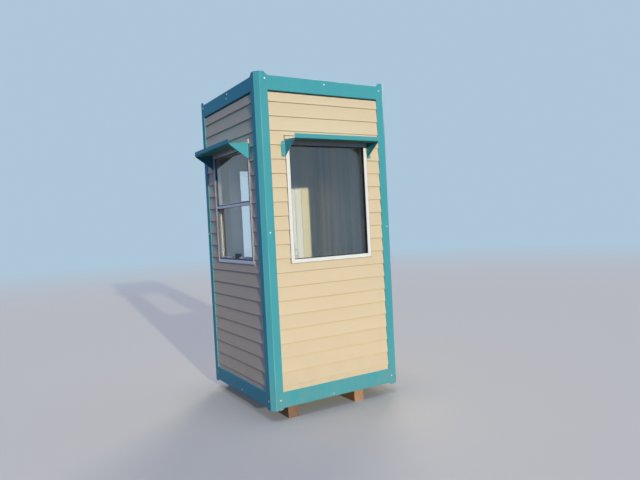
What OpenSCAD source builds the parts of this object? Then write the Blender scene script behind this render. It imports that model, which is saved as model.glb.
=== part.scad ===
/* [Booth] */
// Outer width across the corner posts
booth_w = 1200; // [1100:10:1600]
// Outer depth across the corner posts
booth_d = 1200; // [1100:10:1600]
// Height of the steel frame, from under the bottom beams to the top of the top beams
frame_h = 2500; // [2350:10:2800]

/* [Timber bearers] */
// Width of a bearer
bearer_w = 90; // [70:5:120]
// Height of a bearer
bearer_h = 90; // [50:5:140]
// Distance of the left bearer's middle from the middle of the booth
bearer_left_x = 420; // [380:5:440]
// Distance of the right bearer's middle from the middle of the booth
bearer_right_x = 190; // [100:5:440]
// How far the ends of the bearers lie inside the frame
bearer_inset = 12; // [0:1:50]

/* [Steel frame] */
// Thickness of the bent steel sheet
sheet_t = 2.5; // [2:0.5:4]
// Face of a corner post beside its bevel
post_face = 63; // [50:1:75]
// Leg of the bevel at each corner
post_bevel = 33; // [24:1:40]
// Height of the posts above the top beams
post_rise = 24; // [10:1:40]
// Depth of the posts below the bottom beams
post_drop = 12; // [4:1:30]
// Face height of the top beams
top_beam_h = 112; // [100:1:140]
// Face height of the bottom beams
bottom_beam_h = 120; // [100:1:140]
// Depth of the flanges of all beams
beam_flange = 75; // [66:1:90]

/* [Walls] */
// Height of one siding course
course_h = 107.4; // [90:0.1:125]
// Height of the course under the top beams
first_course_h = 81; // [50:1:90]
// Depth of the step between two courses
course_step = 9; // [5:0.5:12]
// Depth of the course butts behind the steel faces
siding_set = 3; // [1:0.5:5]
// Thickness of the siding where it is thinnest
siding_t = 4; // [2:0.5:6]
// Thickness of the insulated wall panels
core_t = 42; // [36:1:48]
// Thickness of the inner lining
lining_t = 6; // [4:1:8]

/* [Floor and roof] */
// Thickness of the floor deck
deck_t = 18; // [12:1:24]
// Number of floor joists
joist_count = 4; // [2:1:4]
// Width of a floor joist
joist_w = 45; // [35:5:60]
// Distance from joist to joist
joist_pitch = 240; // [200:10:250]
// Thickness of the ceiling panel
ceiling_t = 8; // [5:1:12]
// Thickness of the roof panel between its ribs
roof_t = 58; // [40:1:64]
// Gap between the roof panel and the corner posts
roof_gap = 2; // [1:0.5:5]
// Height of the roof ribs
rib_h = 24; // [10:1:30]
// Width of a roof rib at its top
rib_top_w = 24; // [16:1:40]
// Width of a roof rib at its foot
rib_foot_w = 60; // [44:1:80]
// Distance from rib to rib
rib_pitch = 185; // [150:5:220]

/* [Windows] */
// Outer width of both windows
window_w = 750; // [600:10:800]
// Outer height of both windows
window_h = 930; // [700:10:1000]
// Distance from the top beams down to the windows
window_drop = 373; // [300:1:450]
// Width of the window frame's face
window_face = 29; // [24:1:40]
// Depth of the glass behind the face of the front window
glass_set = 27; // [20:1:32]
// Thickness of the double glazing
glass_t = 20; // [12:1:22]
// Depth of the glazing groove
groove = 12; // [8:1:16]
// Shift of the left window towards the front of the booth
left_window_shift = 30; // [-60:5:60]
// Height of the left window's rail
rail_h = 25; // [20:1:35]
// Height of the rail's lower edge above the window's lower edge
rail_up = 465; // [350:5:500]
// Depth of the fixed upper pane behind the face
upper_pane_set = 12; // [8:1:14]
// Thickness of a single pane
pane_t = 6; // [4:1:8]
// Face of the sliding sash
sash_face = 22; // [20:1:30]
// Depth of the sliding sash from face to back
sash_t = 20; // [16:1:22]
// Depth from the upper pane to the sliding sash
sash_set = 8; // [6:1:10]
// Gap between the rail and the sash that slides behind it
sash_play = 2; // [1:0.5:3]

/* [Window trims and canopies] */
// Height of the trim above a window
trim_h = 38; // [30:1:50]
// Length of that trim beyond the window at each end
trim_over = 6; // [2:1:12]
// How far that trim stands out from the steel faces
trim_out = 1; // [0.5:0.5:3]
// Length of a canopy beyond the window at each end
canopy_over = 6; // [2:1:12]
// Reach of a canopy from the wall
canopy_reach = 160; // [120:5:220]
// Height of the canopy sheet above the top of the window
canopy_up = 12; // [8:1:24]
// Fall of the sheet towards its lip
canopy_fall = 12; // [0:1:25]
// Height of the lip along the edge
lip_h = 32; // [20:1:45]
// Thickness of the canopy sheet and its brackets
canopy_t = 2; // [1.5:0.5:4]
// Height of a bracket at the wall
bracket_h = 130; // [90:5:180]
// Height of a bracket at its outer end
bracket_tip = 6; // [4:1:20]
// Width of a bracket's flange on the wall
bracket_flange = 34; // [24:1:45]
// Cut corner at the flange's upper end
flange_corner = 10; // [4:1:16]

/* [Door] */
// Outer width of the door frame
door_w = 760; // [700:10:800]
// Outer height of the door frame
door_h = 1915; // [1850:5:1980]
// Face of the door frame
door_face = 45; // [38:1:55]
// Height of the door frame's sill
door_sill_h = 30; // [22:1:45]
// Gap around the door leaf
door_gap = 8; // [8:0.5:10]
// Thickness of the door leaf
leaf_t = 45; // [38:1:46]
// Width of the leaf's stiles and top rail
stile_w = 55; // [48:1:70]
// Height of the leaf's bottom rail
foot_rail_h = 75; // [60:1:110]
// Height of the leaf's middle rail
mid_rail_h = 80; // [60:1:100]
// Height of the middle rail's top above the underside of the frame
mid_rail_top = 910; // [850:5:1300]
// Thickness of the lower door panel
panel_t = 24; // [16:1:26]
// Width of the stop that the leaf closes against
stop_w = 20; // [12:1:26]

/* [Door handles and hinges] */
// Height of the levers above the underside of the frame
handle_z = 1145; // [1080:5:1250]
// Reach of a handle from the leaf
handle_reach = 52; // [44:1:70]
// Length of the lever
lever_l = 118; // [90:1:140]
// Diameter of the lever
lever_d = 16; // [12:1:20]
// Width of a handle's plate
handle_plate_w = 28; // [22:1:34]
// Thickness of a handle's plate
handle_plate_t = 8; // [5:0.5:10]
// Height of the plate above the lever
handle_plate_up = 60; // [30:1:80]
// Height of the plate below the lever
handle_plate_down = 150; // [80:1:180]
// Height of a hinge
hinge_h = 90; // [80:1:120]
// Height of a hinge's outer knuckles
knuckle_h = 26; // [18:1:28]
// Distance of the outer hinges from the ends of the leaf
hinge_end = 120; // [80:5:250]
// Thickness of the hinge flaps
flap_t = 4; // [3:0.5:5]
// Width of a hinge flap, from the middle of the pin
flap_w = 30; // [24:1:38]
// Outer diameter of the hinge barrels
barrel_d = 16; // [14:0.5:16]
// Distance of the barrels from the face of the door
barrel_out = 1; // [0.5:0.5:2]
// Diameter of the hinge pins
pin_d = 7; // [5:0.5:9]

/* [Clearances] */
// Gap between pieces that are fitted together
fit = 0.3; // [0.2:0.1:0.5]
// Gap between the closed door leaf and its stop
running_gap = 5; // [5:0.5:8]
// Gap between a hinge pin and its bore
pin_gap = 0.1; // [0.05:0.05:0.1]

/* [Hidden] */

teal = [0.31, 0.67, 0.70];
beige = [0.90, 0.82, 0.69];
cream = [0.88, 0.86, 0.80];
white = [0.95, 0.95, 0.93];
timber = [0.62, 0.42, 0.27];
zinc = [0.70, 0.72, 0.73];
glass_tint = [0.42, 0.52, 0.58, 0.6];

// How far a cut runs past the faces that it opens
past = 1;

// Layers of a wall, measured inwards from the steel faces
siding_d = siding_set + course_step + siding_t;
core_in = siding_d + core_t;
lining_in = core_in + lining_t;

// Heights above the underside of the frame
wall_z0 = bottom_beam_h;
wall_z1 = frame_h - top_beam_h;
deck_z = wall_z0 + deck_t;
ceiling_z = wall_z1 - ceiling_t;
lap_lines = [for (z = [wall_z1 - first_course_h : -course_h : wall_z0 + siding_t]) z];

// Steel frame and what it holds
post_leg = post_bevel + post_face;
bevel_back = post_bevel + sheet_t * sqrt(2);
beam_w = booth_w - 2 * post_leg;
beam_d = booth_d - 2 * post_leg;
half_core_w = booth_w / 2 - (bevel_back - siding_d + fit);
half_core_d = booth_d / 2 - core_in;
roof_inset = max(siding_d, bevel_back / 2) + roof_gap;

// Windows, with depths measured inwards from the steel faces
window_top = wall_z1 - window_drop;
window_sill = window_top - window_h;
rail_z0 = window_sill + rail_up;
rail_z1 = rail_z0 + rail_h;
sash_y0 = upper_pane_set + pane_t + sash_set;
sash_y1 = sash_y0 + sash_t;
sash_pane_y = sash_y0 + (sash_t - pane_t) / 2;
sash_w = window_w - 2 * window_face - 2 * fit;
sash_z0 = window_sill + window_face + fit;

// Canopies, with depths that are negative outside the steel faces
canopy_w = window_w + 2 * canopy_over;
canopy_z = window_top + canopy_up;
canopy_back = -trim_out - fit;
lip_z0 = canopy_z - canopy_fall;

// Door
door_z0 = wall_z0;
door_z1 = door_z0 + door_h;
leaf_w = door_w - 2 * door_face - 2 * door_gap;
leaf_z0 = door_z0 + door_sill_h + door_gap;
leaf_z1 = door_z1 - door_face - door_gap;
stop_t = core_in - leaf_t - running_gap;
light_z0 = mid_rail_top;
light_z1 = leaf_z1 - stile_w;
light_y = (leaf_t - glass_t) / 2;
panel_z0 = leaf_z0 + foot_rail_h;
panel_z1 = mid_rail_top - mid_rail_h;
panel_y = (leaf_t - panel_t) / 2;
axis_x = leaf_w / 2 + door_gap / 2;
axis_out = barrel_d / 2 + barrel_out;
hinge_levels = [leaf_z0 + hinge_end, (leaf_z0 + leaf_z1 - hinge_h) / 2, leaf_z1 - hinge_end - hinge_h];

// The plan is centred on the box that holds the canopies and the door handle
origin_x = canopy_reach / 2;
origin_y = (canopy_reach - handle_reach) / 2;

module placed() {
  translate([origin_x, origin_y, 0]) children();
}

module on_bearers() {
  translate([origin_x, origin_y, bearer_h]) children();
}

// Walls are drawn seen from outside: x to the right, y inwards, z up
module at_front() {
  translate([0, -booth_d / 2, 0]) children();
}

module at_back() {
  rotate([0, 0, 180]) translate([0, -booth_d / 2, 0]) children();
}

module at_left() {
  rotate([0, 0, -90]) translate([0, -booth_w / 2, 0]) children();
}

module at_right() {
  rotate([0, 0, 90]) translate([0, -booth_w / 2, 0]) children();
}

module at_left_window() {
  at_left() translate([left_window_shift, 0, 0]) children();
}

// A block given by its limits
module block(x0, x1, y0, y1, z0, z1) {
  translate([x0, y0, z0]) cube([x1 - x0, y1 - y0, z1 - z0]);
}

// Extrudes an outline drawn as depth and height along a wall
module along_wall(length) {
  rotate([90, 0, 90]) linear_extrude(height = length, center = true) children();
}

// Extrudes an outline drawn as a wall's x and z inwards over a depth
module into_wall(y, depth) {
  translate([0, y + depth, 0]) rotate([90, 0, 0]) linear_extrude(depth) children();
}

// A rectangular ring with a glazing groove around its inside
module glazed_ring(w, z0, z1, face, y0, y1, g0, g1) {
  difference() {
    block(-w / 2, w / 2, y0, y1, z0, z1);
    block(-w / 2 + face, w / 2 - face, y0 - past, y1 + past, z0 + face, z1 - face);
    block(-w / 2 + face - groove, w / 2 - face + groove, g0, g1, z0 + face - groove, z1 - face + groove);
  }
}

// A sheet that fills the groove around an opening, less a small clearance
module glazed_sheet(half_w, z0, z1, y, t) {
  x = half_w + groove - fit;
  block(-x, x, y + fit, y + t - fit, z0 - groove + fit, z1 + groove - fit);
}

module bearer(x) {
  half = booth_d / 2 - bearer_inset;
  color(timber) block(x - bearer_w / 2, x + bearer_w / 2, -half, half, 0, bearer_h);
}

module channel(length, face_h) {
  color(teal) along_wall(length) polygon([
    [0, 0], [beam_flange, 0], [beam_flange, sheet_t], [sheet_t, sheet_t],
    [sheet_t, face_h - sheet_t], [beam_flange, face_h - sheet_t], [beam_flange, face_h], [0, face_h]
  ]);
}

module bottom_beam(length) {
  channel(length, bottom_beam_h);
}

module top_beam(length) {
  translate([0, 0, wall_z1]) channel(length, top_beam_h);
}

// Outline of the bent corner sheet, with the corner at the origin
module post_outline() {
  b = post_bevel + sheet_t * (sqrt(2) - 1);
  polygon([
    [post_leg, siding_d], [post_leg, 0], [post_bevel, 0],
    [0, post_bevel], [0, post_leg], [siding_d, post_leg],
    [siding_d, post_leg - sheet_t], [sheet_t, post_leg - sheet_t], [sheet_t, b], [b, sheet_t],
    [post_leg - sheet_t, sheet_t], [post_leg - sheet_t, siding_d]
  ]);
}

// Plate that closes the corner between the beams
module post_plate() {
  linear_extrude(sheet_t)
    polygon([[post_leg, 0], [post_bevel, 0], [0, post_bevel], [0, post_leg], [post_leg, post_leg]]);
}

// Slopes the end of a post, from its full height down to the beam beside it
module post_end_cut(rise) {
  into_wall(-past, siding_d + 2 * past) polygon([
    [post_leg - rise, rise], [post_leg, 0], [post_leg + past, 0],
    [post_leg + past, rise + past], [post_leg - rise, rise + past]
  ]);
}

module post_end_cuts() {
  translate([0, 0, frame_h]) post_end_cut(post_rise);
  mirror([0, 0, 1]) post_end_cut(post_drop);
}

module corner_post() {
  color(teal) union() {
    difference() {
      translate([0, 0, -post_drop]) linear_extrude(frame_h + post_rise + post_drop) post_outline();
      post_end_cuts();
      mirror([1, -1, 0]) post_end_cuts();
    }
    post_plate();
    translate([0, 0, frame_h - sheet_t]) post_plate();
  }
}

// Joists run from front to back, notched around the flanges of the beams
module floor_joists() {
  half = booth_d / 2 - sheet_t;
  inner = booth_d / 2 - beam_flange - fit;
  color(timber) for (i = [0 : joist_count - 1])
    translate([(i - (joist_count - 1) / 2) * joist_pitch, 0, 0]) union() {
      block(-joist_w / 2, joist_w / 2, -half, half, sheet_t, bottom_beam_h - sheet_t);
      block(-joist_w / 2, joist_w / 2, -inner, inner, sheet_t, bottom_beam_h);
    }
}

// A board as large as the room between the wall panels
module room_board(z0, z1) {
  x = booth_w / 2 - core_in - fit;
  y = booth_d / 2 - core_in - fit;
  block(-x, x, -y, y, z0, z1);
}

module floor_deck() {
  color(timber) room_board(wall_z0, deck_z);
}

module ceiling_panel() {
  color(cream) room_board(ceiling_z, wall_z1);
}

// Panel on the flanges of the top beams, with ribs from front to back
module roof_panel() {
  half = booth_w / 2 - roof_inset;
  z0 = wall_z1 + sheet_t;
  z1 = z0 + roof_t;
  count = floor((half - rib_foot_w / 2 - beam_flange) / rib_pitch);
  rib = [[rib_foot_w / 2, 0], [rib_top_w / 2, rib_h], [-rib_top_w / 2, rib_h], [-rib_foot_w / 2, 0]];
  ribs = [for (i = [count : -1 : -count]) for (p = rib) [i * rib_pitch + p[0], z1 + p[1]]];
  color(zinc) into_wall(-booth_d / 2 + roof_inset, booth_d - 2 * roof_inset)
    polygon(concat([[-half, z0], [half, z0], [half, z1]], ribs, [[-half, z1]]));
}

// Holes in a wall for the window, the trim above it and the door
module window_hole() {
  half = window_w / 2 + fit;
  block(-half, half, -past, lining_in + past, window_sill - fit, window_top + fit);
}

module trim_hole() {
  half = window_w / 2 + trim_over + fit;
  block(-half, half, -past, siding_d + past, window_top - past, window_top + trim_h + fit);
}

module door_hole() {
  half = door_w / 2 + fit;
  block(-half, half, -past, lining_in + past, door_z0 - past, door_z1 + fit);
}

module wall_panel(x0, x1, z0, z1) {
  block(x0, x1, siding_d, core_in, z0, z1);
}

module front_wall() {
  color(cream) difference() {
    wall_panel(-half_core_w, half_core_w, wall_z0, wall_z1);
    window_hole();
  }
}

module left_wall() {
  color(cream) difference() {
    wall_panel(-half_core_d, half_core_d, wall_z0, wall_z1);
    translate([left_window_shift, 0, 0]) window_hole();
  }
}

module right_wall() {
  color(cream) wall_panel(-half_core_d, half_core_d, wall_z0, wall_z1);
}

// Seen from outside, the booth's left side is on the right of the back wall
module back_wall_left() {
  color(cream) wall_panel(door_w / 2 + fit, half_core_w, wall_z0, wall_z1);
}

module back_wall_right() {
  color(cream) wall_panel(-half_core_w, -door_w / 2 - fit, wall_z0, wall_z1);
}

module back_wall_over_door() {
  color(cream) wall_panel(-door_w / 2 - fit, door_w / 2 + fit, door_z1 + fit, wall_z1);
}

// Lapped courses: each leans out from its top to its butt
module siding(length) {
  last = lap_lines[len(lap_lines) - 1];
  recess = siding_set + course_step;
  steps = [for (z = lap_lines) for (d = [siding_set, recess]) [d, z]];
  along_wall(length - 2 * fit) polygon(concat(
    [[siding_set + course_step * first_course_h / course_h, wall_z1]],
    steps,
    [[recess - course_step * (last - wall_z0) / course_h, wall_z0],
     [siding_d, wall_z0], [siding_d, wall_z1]]
  ));
}

module front_siding() {
  color(beige) difference() {
    siding(beam_w);
    window_hole();
    trim_hole();
  }
}

module left_siding() {
  color(beige) difference() {
    siding(beam_d);
    translate([left_window_shift, 0, 0]) window_hole();
    translate([left_window_shift, 0, 0]) trim_hole();
  }
}

module right_siding() {
  color(beige) siding(beam_d);
}

module back_siding() {
  color(beige) difference() {
    siding(beam_w);
    door_hole();
  }
}

module lining_board(half) {
  block(-half, half, core_in, lining_in, deck_z, ceiling_z);
}

module inner_lining() {
  half_w = booth_w / 2 - core_in;
  half_d = booth_d / 2 - lining_in - fit;
  color(cream) {
    at_front() difference() {
      lining_board(half_w);
      window_hole();
    }
    at_left() difference() {
      lining_board(half_d);
      translate([left_window_shift, 0, 0]) window_hole();
    }
    at_right() lining_board(half_d);
    at_back() difference() {
      lining_board(half_w);
      door_hole();
    }
  }
}

module front_window_frame() {
  color(white) glazed_ring(
    window_w, window_sill, window_top, window_face, 0, core_in, glass_set, glass_set + glass_t
  );
}

module front_window_glass() {
  color(glass_tint) glazed_sheet(
    window_w / 2 - window_face, window_sill + window_face, window_top - window_face, glass_set, glass_t
  );
}

// Frame with a rail in front of the sliding sash and a groove for the upper pane
module left_window_frame() {
  half = window_w / 2 - window_face;
  color(white) difference() {
    block(-window_w / 2, window_w / 2, 0, core_in, window_sill, window_top);
    block(-half, half, -past, core_in + past, window_sill + window_face, rail_z0);
    block(-half, half, -past, core_in + past, rail_z1, window_top - window_face);
    block(-half, half, sash_y0 - sash_play, core_in + past, rail_z0 - past, rail_z1 + past);
    block(
      -half - groove, half + groove, upper_pane_set, upper_pane_set + pane_t,
      rail_z1 - groove, window_top - window_face + groove
    );
  }
}

module left_window_sash() {
  color(white) glazed_ring(
    sash_w, sash_z0, rail_z1, sash_face, sash_y0, sash_y1, sash_pane_y, sash_pane_y + pane_t
  );
}

module left_window_glass() {
  color(glass_tint) {
    glazed_sheet(window_w / 2 - window_face, rail_z1, window_top - window_face, upper_pane_set, pane_t);
    glazed_sheet(sash_w / 2 - sash_face, sash_z0 + sash_face, rail_z1 - sash_face, sash_pane_y, pane_t);
  }
}

module head_trim() {
  half = window_w / 2 + trim_over;
  block(-half, half, -trim_out, siding_d, window_top + fit, window_top + trim_h);
}

module window_head_trims() {
  color(beige) {
    at_front() head_trim();
    at_left_window() head_trim();
  }
}

module canopy() {
  color(teal) along_wall(canopy_w) polygon([
    [canopy_back, canopy_z], [-canopy_reach + canopy_t, lip_z0], [-canopy_reach + canopy_t, lip_z0 + lip_h],
    [-canopy_reach, lip_z0 + lip_h], [-canopy_reach, lip_z0 - canopy_t], [canopy_back, canopy_z - canopy_t]
  ]);
}

// Height just under the canopy sheet at a depth
function canopy_under(y) = canopy_z - canopy_t - fit
  - canopy_fall * (canopy_back - y) / (canopy_reach + canopy_back);

// Bracket under the right end of a canopy, notched below the trim, with its flange turned outwards
module bracket() {
  y0 = siding_set - fit;
  tip = -canopy_reach + 2 * canopy_t;
  z_low = canopy_z - bracket_h;
  plate = canopy_w / 2 - canopy_t;
  union() {
    translate([plate, 0, 0]) rotate([90, 0, 90]) linear_extrude(canopy_t) polygon([
      [y0, window_top], [canopy_back, window_top], [canopy_back, canopy_under(canopy_back)],
      [tip, canopy_under(tip)], [tip, canopy_under(tip) - bracket_tip], [y0, z_low]
    ]);
    translate([plate, 0, 0]) into_wall(y0 - canopy_t, canopy_t) polygon([
      [0, z_low], [bracket_flange, z_low], [bracket_flange, window_top - flange_corner],
      [bracket_flange - flange_corner, window_top], [0, window_top]
    ]);
  }
}

module canopy_brackets() {
  color(teal) {
    bracket();
    mirror([1, 0, 0]) bracket();
  }
}

module door_frame() {
  half = door_w / 2 - door_face;
  color(white) difference() {
    block(-door_w / 2, door_w / 2, 0, core_in, door_z0, door_z1);
    block(-half, half, -past, core_in - stop_t, door_z0 + door_sill_h, door_z1 - door_face);
    block(
      -half + stop_w, half - stop_w, -past, core_in + past,
      door_z0 + door_sill_h, door_z1 - door_face - stop_w
    );
  }
}

// Leaf with a glazed upper field and a panel below, each in its groove
module door_leaf() {
  half = leaf_w / 2;
  light = half - stile_w;
  color(white) difference() {
    block(-half, half, 0, leaf_t, leaf_z0, leaf_z1);
    block(-light, light, -past, leaf_t + past, light_z0, light_z1);
    block(-light - groove, light + groove, light_y, light_y + glass_t, light_z0 - groove, light_z1 + groove);
    block(-light, light, -past, leaf_t + past, panel_z0, panel_z1);
    block(-light - groove, light + groove, panel_y, panel_y + panel_t, panel_z0 - groove, panel_z1 + groove);
  }
}

module door_glass() {
  color(glass_tint) glazed_sheet(leaf_w / 2 - stile_w, light_z0, light_z1, light_y, glass_t);
}

module door_panel() {
  color(white) glazed_sheet(leaf_w / 2 - stile_w, panel_z0, panel_z1, panel_y, panel_t);
}

// Handle on the outer face, its lever pointing towards the hinges
module handle() {
  half = handle_plate_w / 2;
  middle = handle_reach - lever_d / 2;
  translate([-leaf_w / 2 + stile_w / 2, 0, handle_z]) union() {
    block(-half, half, -handle_plate_t, -fit, -handle_plate_down, handle_plate_up);
    rotate([90, 0, 0]) cylinder(h = middle, d = lever_d, $fn = 32);
    translate([-lever_d / 2, -middle, 0]) rotate([0, 90, 0]) cylinder(h = lever_l, d = lever_d, $fn = 32);
  }
}

module door_handles() {
  color(white) {
    handle();
    translate([0, leaf_t, 0]) mirror([0, 1, 0]) handle();
  }
}

// Barrel piece with a flap on the face of the frame, or of the leaf where side is -1
module knuckle(z0, z1, side) {
  flap = axis_x + side * flap_w;
  union() {
    translate([axis_x, -axis_out, z0]) cylinder(h = z1 - z0, d = barrel_d, $fn = 40);
    block(min(axis_x, flap), max(axis_x, flap), -flap_t, -fit, z0, z1);
  }
}

module door_hinges() {
  color(white) for (z = hinge_levels) union() {
    knuckle(z, z + knuckle_h, 1);
    knuckle(z + hinge_h - knuckle_h, z + hinge_h, 1);
    translate([axis_x, -axis_out, z + past]) cylinder(h = hinge_h - 2 * past, d = pin_d, $fn = 32);
  }
}

module door_hinge_leaves() {
  color(white) for (z = hinge_levels) difference() {
    knuckle(z + knuckle_h + fit, z + hinge_h - knuckle_h - fit, -1);
    translate([axis_x, -axis_out, z]) cylinder(h = hinge_h, d = pin_d + 2 * pin_gap, $fn = 32);
  }
}

placed() bearer(-bearer_left_x);  // timber_bearer_left
placed() bearer(bearer_right_x);  // timber_bearer_right
on_bearers() at_front() bottom_beam(beam_w);  // bottom_beam_front
on_bearers() at_back() bottom_beam(beam_w);  // bottom_beam_back
on_bearers() at_left() bottom_beam(beam_d);  // bottom_beam_left
on_bearers() at_right() bottom_beam(beam_d);  // bottom_beam_right
on_bearers() at_front() top_beam(beam_w);  // top_beam_front
on_bearers() at_back() top_beam(beam_w);  // top_beam_back
on_bearers() at_left() top_beam(beam_d);  // top_beam_left
on_bearers() at_right() top_beam(beam_d);  // top_beam_right
on_bearers() translate([-booth_w / 2, -booth_d / 2, 0]) corner_post();  // corner_post_front_left
on_bearers() mirror([1, 0, 0]) translate([-booth_w / 2, -booth_d / 2, 0]) corner_post();  // corner_post_front_right
on_bearers() mirror([0, 1, 0]) translate([-booth_w / 2, -booth_d / 2, 0]) corner_post();  // corner_post_back_left
on_bearers() rotate([0, 0, 180]) translate([-booth_w / 2, -booth_d / 2, 0]) corner_post();  // corner_post_back_right
on_bearers() floor_joists();
on_bearers() floor_deck();
on_bearers() ceiling_panel();
on_bearers() roof_panel();
on_bearers() at_front() front_wall();
on_bearers() at_left() left_wall();
on_bearers() at_right() right_wall();
on_bearers() at_back() back_wall_left();
on_bearers() at_back() back_wall_right();
on_bearers() at_back() back_wall_over_door();
on_bearers() at_front() front_siding();
on_bearers() at_left() left_siding();
on_bearers() at_right() right_siding();
on_bearers() at_back() back_siding();
on_bearers() inner_lining();
on_bearers() at_front() front_window_frame();
on_bearers() at_front() front_window_glass();
on_bearers() at_left_window() left_window_frame();
on_bearers() at_left_window() left_window_sash();
on_bearers() at_left_window() left_window_glass();
on_bearers() window_head_trims();
on_bearers() at_front() canopy();  // front_canopy
on_bearers() at_front() canopy_brackets();  // front_canopy_brackets
on_bearers() at_left_window() canopy();  // left_canopy
on_bearers() at_left_window() canopy_brackets();  // left_canopy_brackets
on_bearers() at_back() door_frame();
on_bearers() at_back() door_leaf();
on_bearers() at_back() door_glass();
on_bearers() at_back() door_panel();
on_bearers() at_back() door_handles();
on_bearers() at_back() door_hinges();
on_bearers() at_back() door_hinge_leaves();
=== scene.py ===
"""Looks of a small guard booth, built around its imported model. All sizes are in metres."""

import math
import random
from collections import namedtuple

import bmesh
import bpy
from mathutils import Matrix, Vector, noise


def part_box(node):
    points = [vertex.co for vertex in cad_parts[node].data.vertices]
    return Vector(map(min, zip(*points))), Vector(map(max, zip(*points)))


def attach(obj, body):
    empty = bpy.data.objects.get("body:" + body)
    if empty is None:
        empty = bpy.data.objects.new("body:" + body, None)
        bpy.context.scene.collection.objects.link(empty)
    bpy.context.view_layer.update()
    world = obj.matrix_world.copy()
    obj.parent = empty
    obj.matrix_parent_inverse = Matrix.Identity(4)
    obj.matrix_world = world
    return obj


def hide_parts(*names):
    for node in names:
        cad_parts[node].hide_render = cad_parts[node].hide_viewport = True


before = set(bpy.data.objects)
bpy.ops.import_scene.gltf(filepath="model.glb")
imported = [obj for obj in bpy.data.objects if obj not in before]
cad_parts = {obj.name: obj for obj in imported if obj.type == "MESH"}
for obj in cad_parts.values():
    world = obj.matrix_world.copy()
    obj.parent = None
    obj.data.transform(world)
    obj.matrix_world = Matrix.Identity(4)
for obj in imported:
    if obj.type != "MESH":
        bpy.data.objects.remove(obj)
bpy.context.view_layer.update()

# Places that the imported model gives
POST_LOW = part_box("corner_post_front_left")[0]
FAR_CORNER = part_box("corner_post_back_right")[1]
LEFT_X, FRONT_Y = POST_LOW.x, POST_LOW.y
RIGHT_X, BACK_Y = FAR_CORNER.x, FAR_CORNER.y
MID_X = (LEFT_X + RIGHT_X) / 2
MID_Y = (FRONT_Y + BACK_Y) / 2
FRAME_Z0, WALL_Z0 = (corner.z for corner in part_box("bottom_beam_front"))
WALL_Z1, FRAME_Z1 = (corner.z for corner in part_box("top_beam_front"))

# Gap between pieces that touch, and the rounding of an edge
FIT = 0.0003
EDGE = 0.0004

# Bent steel
STEEL_T = 0.0025
STEEL_BEND = 0.0055
FOLD_EDGE = 0.0012
POST_BEVEL = 0.033
POST_RETURN = 0.016
BEAM_SEAM = 0.00012

# Siding, with depths behind the steel faces
COURSE = 0.1074
FIRST_COURSE = 0.081
SIDING_SET = 0.003
SIDING_STEP = 0.009
SIDING_BACK = 0.016
BUTT_RADIUS = 0.0025
LAP_GAP = 0.0022
TOP_GAP = 0.009
TRIM_GAP = 0.003
TRIM_TOP_GAP = 0.0055
TRIM_GAP_DEPTH = 0.009

# Profiles of both windows and the door
PVC_EDGE = 0.0016
MITRE_GAP = 0.0001
PANE_T = 0.004
REBATE = 0.012
WINDOW_FACE = 0.029
SEALANT_W = 0.0035
SEALANT_SET = 0.0022
SPACER_SET = 0.004
SPACER_W = 0.011
BEAD_GAP = 0.0002

# Room
BOARD_W = 0.1
BOARD_GAP = 0.0006
BOARD_BEVEL = 0.0028
LINING_T = 0.006


class Span(namedtuple("Span", "x0 x1 y0 y1 z0 z1")):
    """Limits in a wall's own directions."""

    @property
    def rect(self):
        return self.x0, self.x1, self.z0, self.z1


def inset(rect, by):
    """A rectangle x0, x1, z0, z1 made smaller on every side."""
    x0, x1, z0, z1 = rect
    return x0 + by, x1 - by, z0 + by, z1 - by


class Wall:
    """A side of the booth seen from outside: x to the right, y inwards, z up from the ground."""

    def __init__(self, turn, x, y, beam):
        self.matrix = Matrix.Translation((x, y, 0)) @ Matrix.Rotation(math.radians(turn), 4, "Z")
        low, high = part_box(beam)
        self.half = max(high.x - low.x, high.y - low.y) / 2

    def span(self, node):
        """Limits of a node in this wall's own directions."""
        inverse = self.matrix.inverted()
        low, high = (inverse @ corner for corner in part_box(node))
        return Span(*[value for i in range(3) for value in sorted((low[i], high[i]))])


FRONT = Wall(0, MID_X, FRONT_Y, "top_beam_front")
BACK = Wall(180, MID_X, BACK_Y, "top_beam_back")
LEFT = Wall(-90, LEFT_X, MID_Y, "top_beam_left")
RIGHT = Wall(90, RIGHT_X, MID_Y, "top_beam_right")
WALLS = {"front": FRONT, "back": BACK, "left": LEFT, "right": RIGHT}


# Sections
def turned_right(a, b):
    """Unit vector to the right of the way from a to b."""
    length = math.hypot(b[0] - a[0], b[1] - a[1])
    return ((b[1] - a[1]) / length, (a[0] - b[0]) / length)


def moved_line(line, distance):
    """A polyline moved to its right by a distance."""
    moved = []
    for i, point in enumerate(line):
        before = turned_right(line[i - 1], point) if i > 0 else None
        after = turned_right(point, line[i + 1]) if i < len(line) - 1 else None
        before = before or after
        after = after or before
        share = distance / (1 + before[0] * after[0] + before[1] * after[1])
        moved.append((point[0] + (before[0] + after[0]) * share, point[1] + (before[1] + after[1]) * share))
    return moved


def rounded_line(line, radii, steps=5):
    """A polyline whose inner corners are arcs. A straight corner stays one point."""
    if not isinstance(radii, list):
        radii = [radii] * (len(line) - 2)
    result = [line[0]]
    for a, b, c, radius in zip(line, line[1:], line[2:], radii):
        to_a = Vector((a[0] - b[0], a[1] - b[1])).normalized()
        to_c = Vector((c[0] - b[0], c[1] - b[1])).normalized()
        turn = math.pi - to_a.angle(to_c)
        if turn < 0.01:
            result.append(b)
            continue
        reach = max(radius, 0.0002) * math.tan(turn / 2)
        middle = Vector(b) + (to_a + to_c).normalized() * reach / math.sin(turn / 2)
        start = Vector(b) + to_a * reach - middle
        cross = to_a.x * to_c.y - to_a.y * to_c.x
        for i in range(steps + 1):
            angle = turn * i / steps * (1 if cross < 0 else -1)
            result.append(tuple(middle + Matrix.Rotation(angle, 2) @ start))
    result.append(line[-1])
    return result


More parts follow.
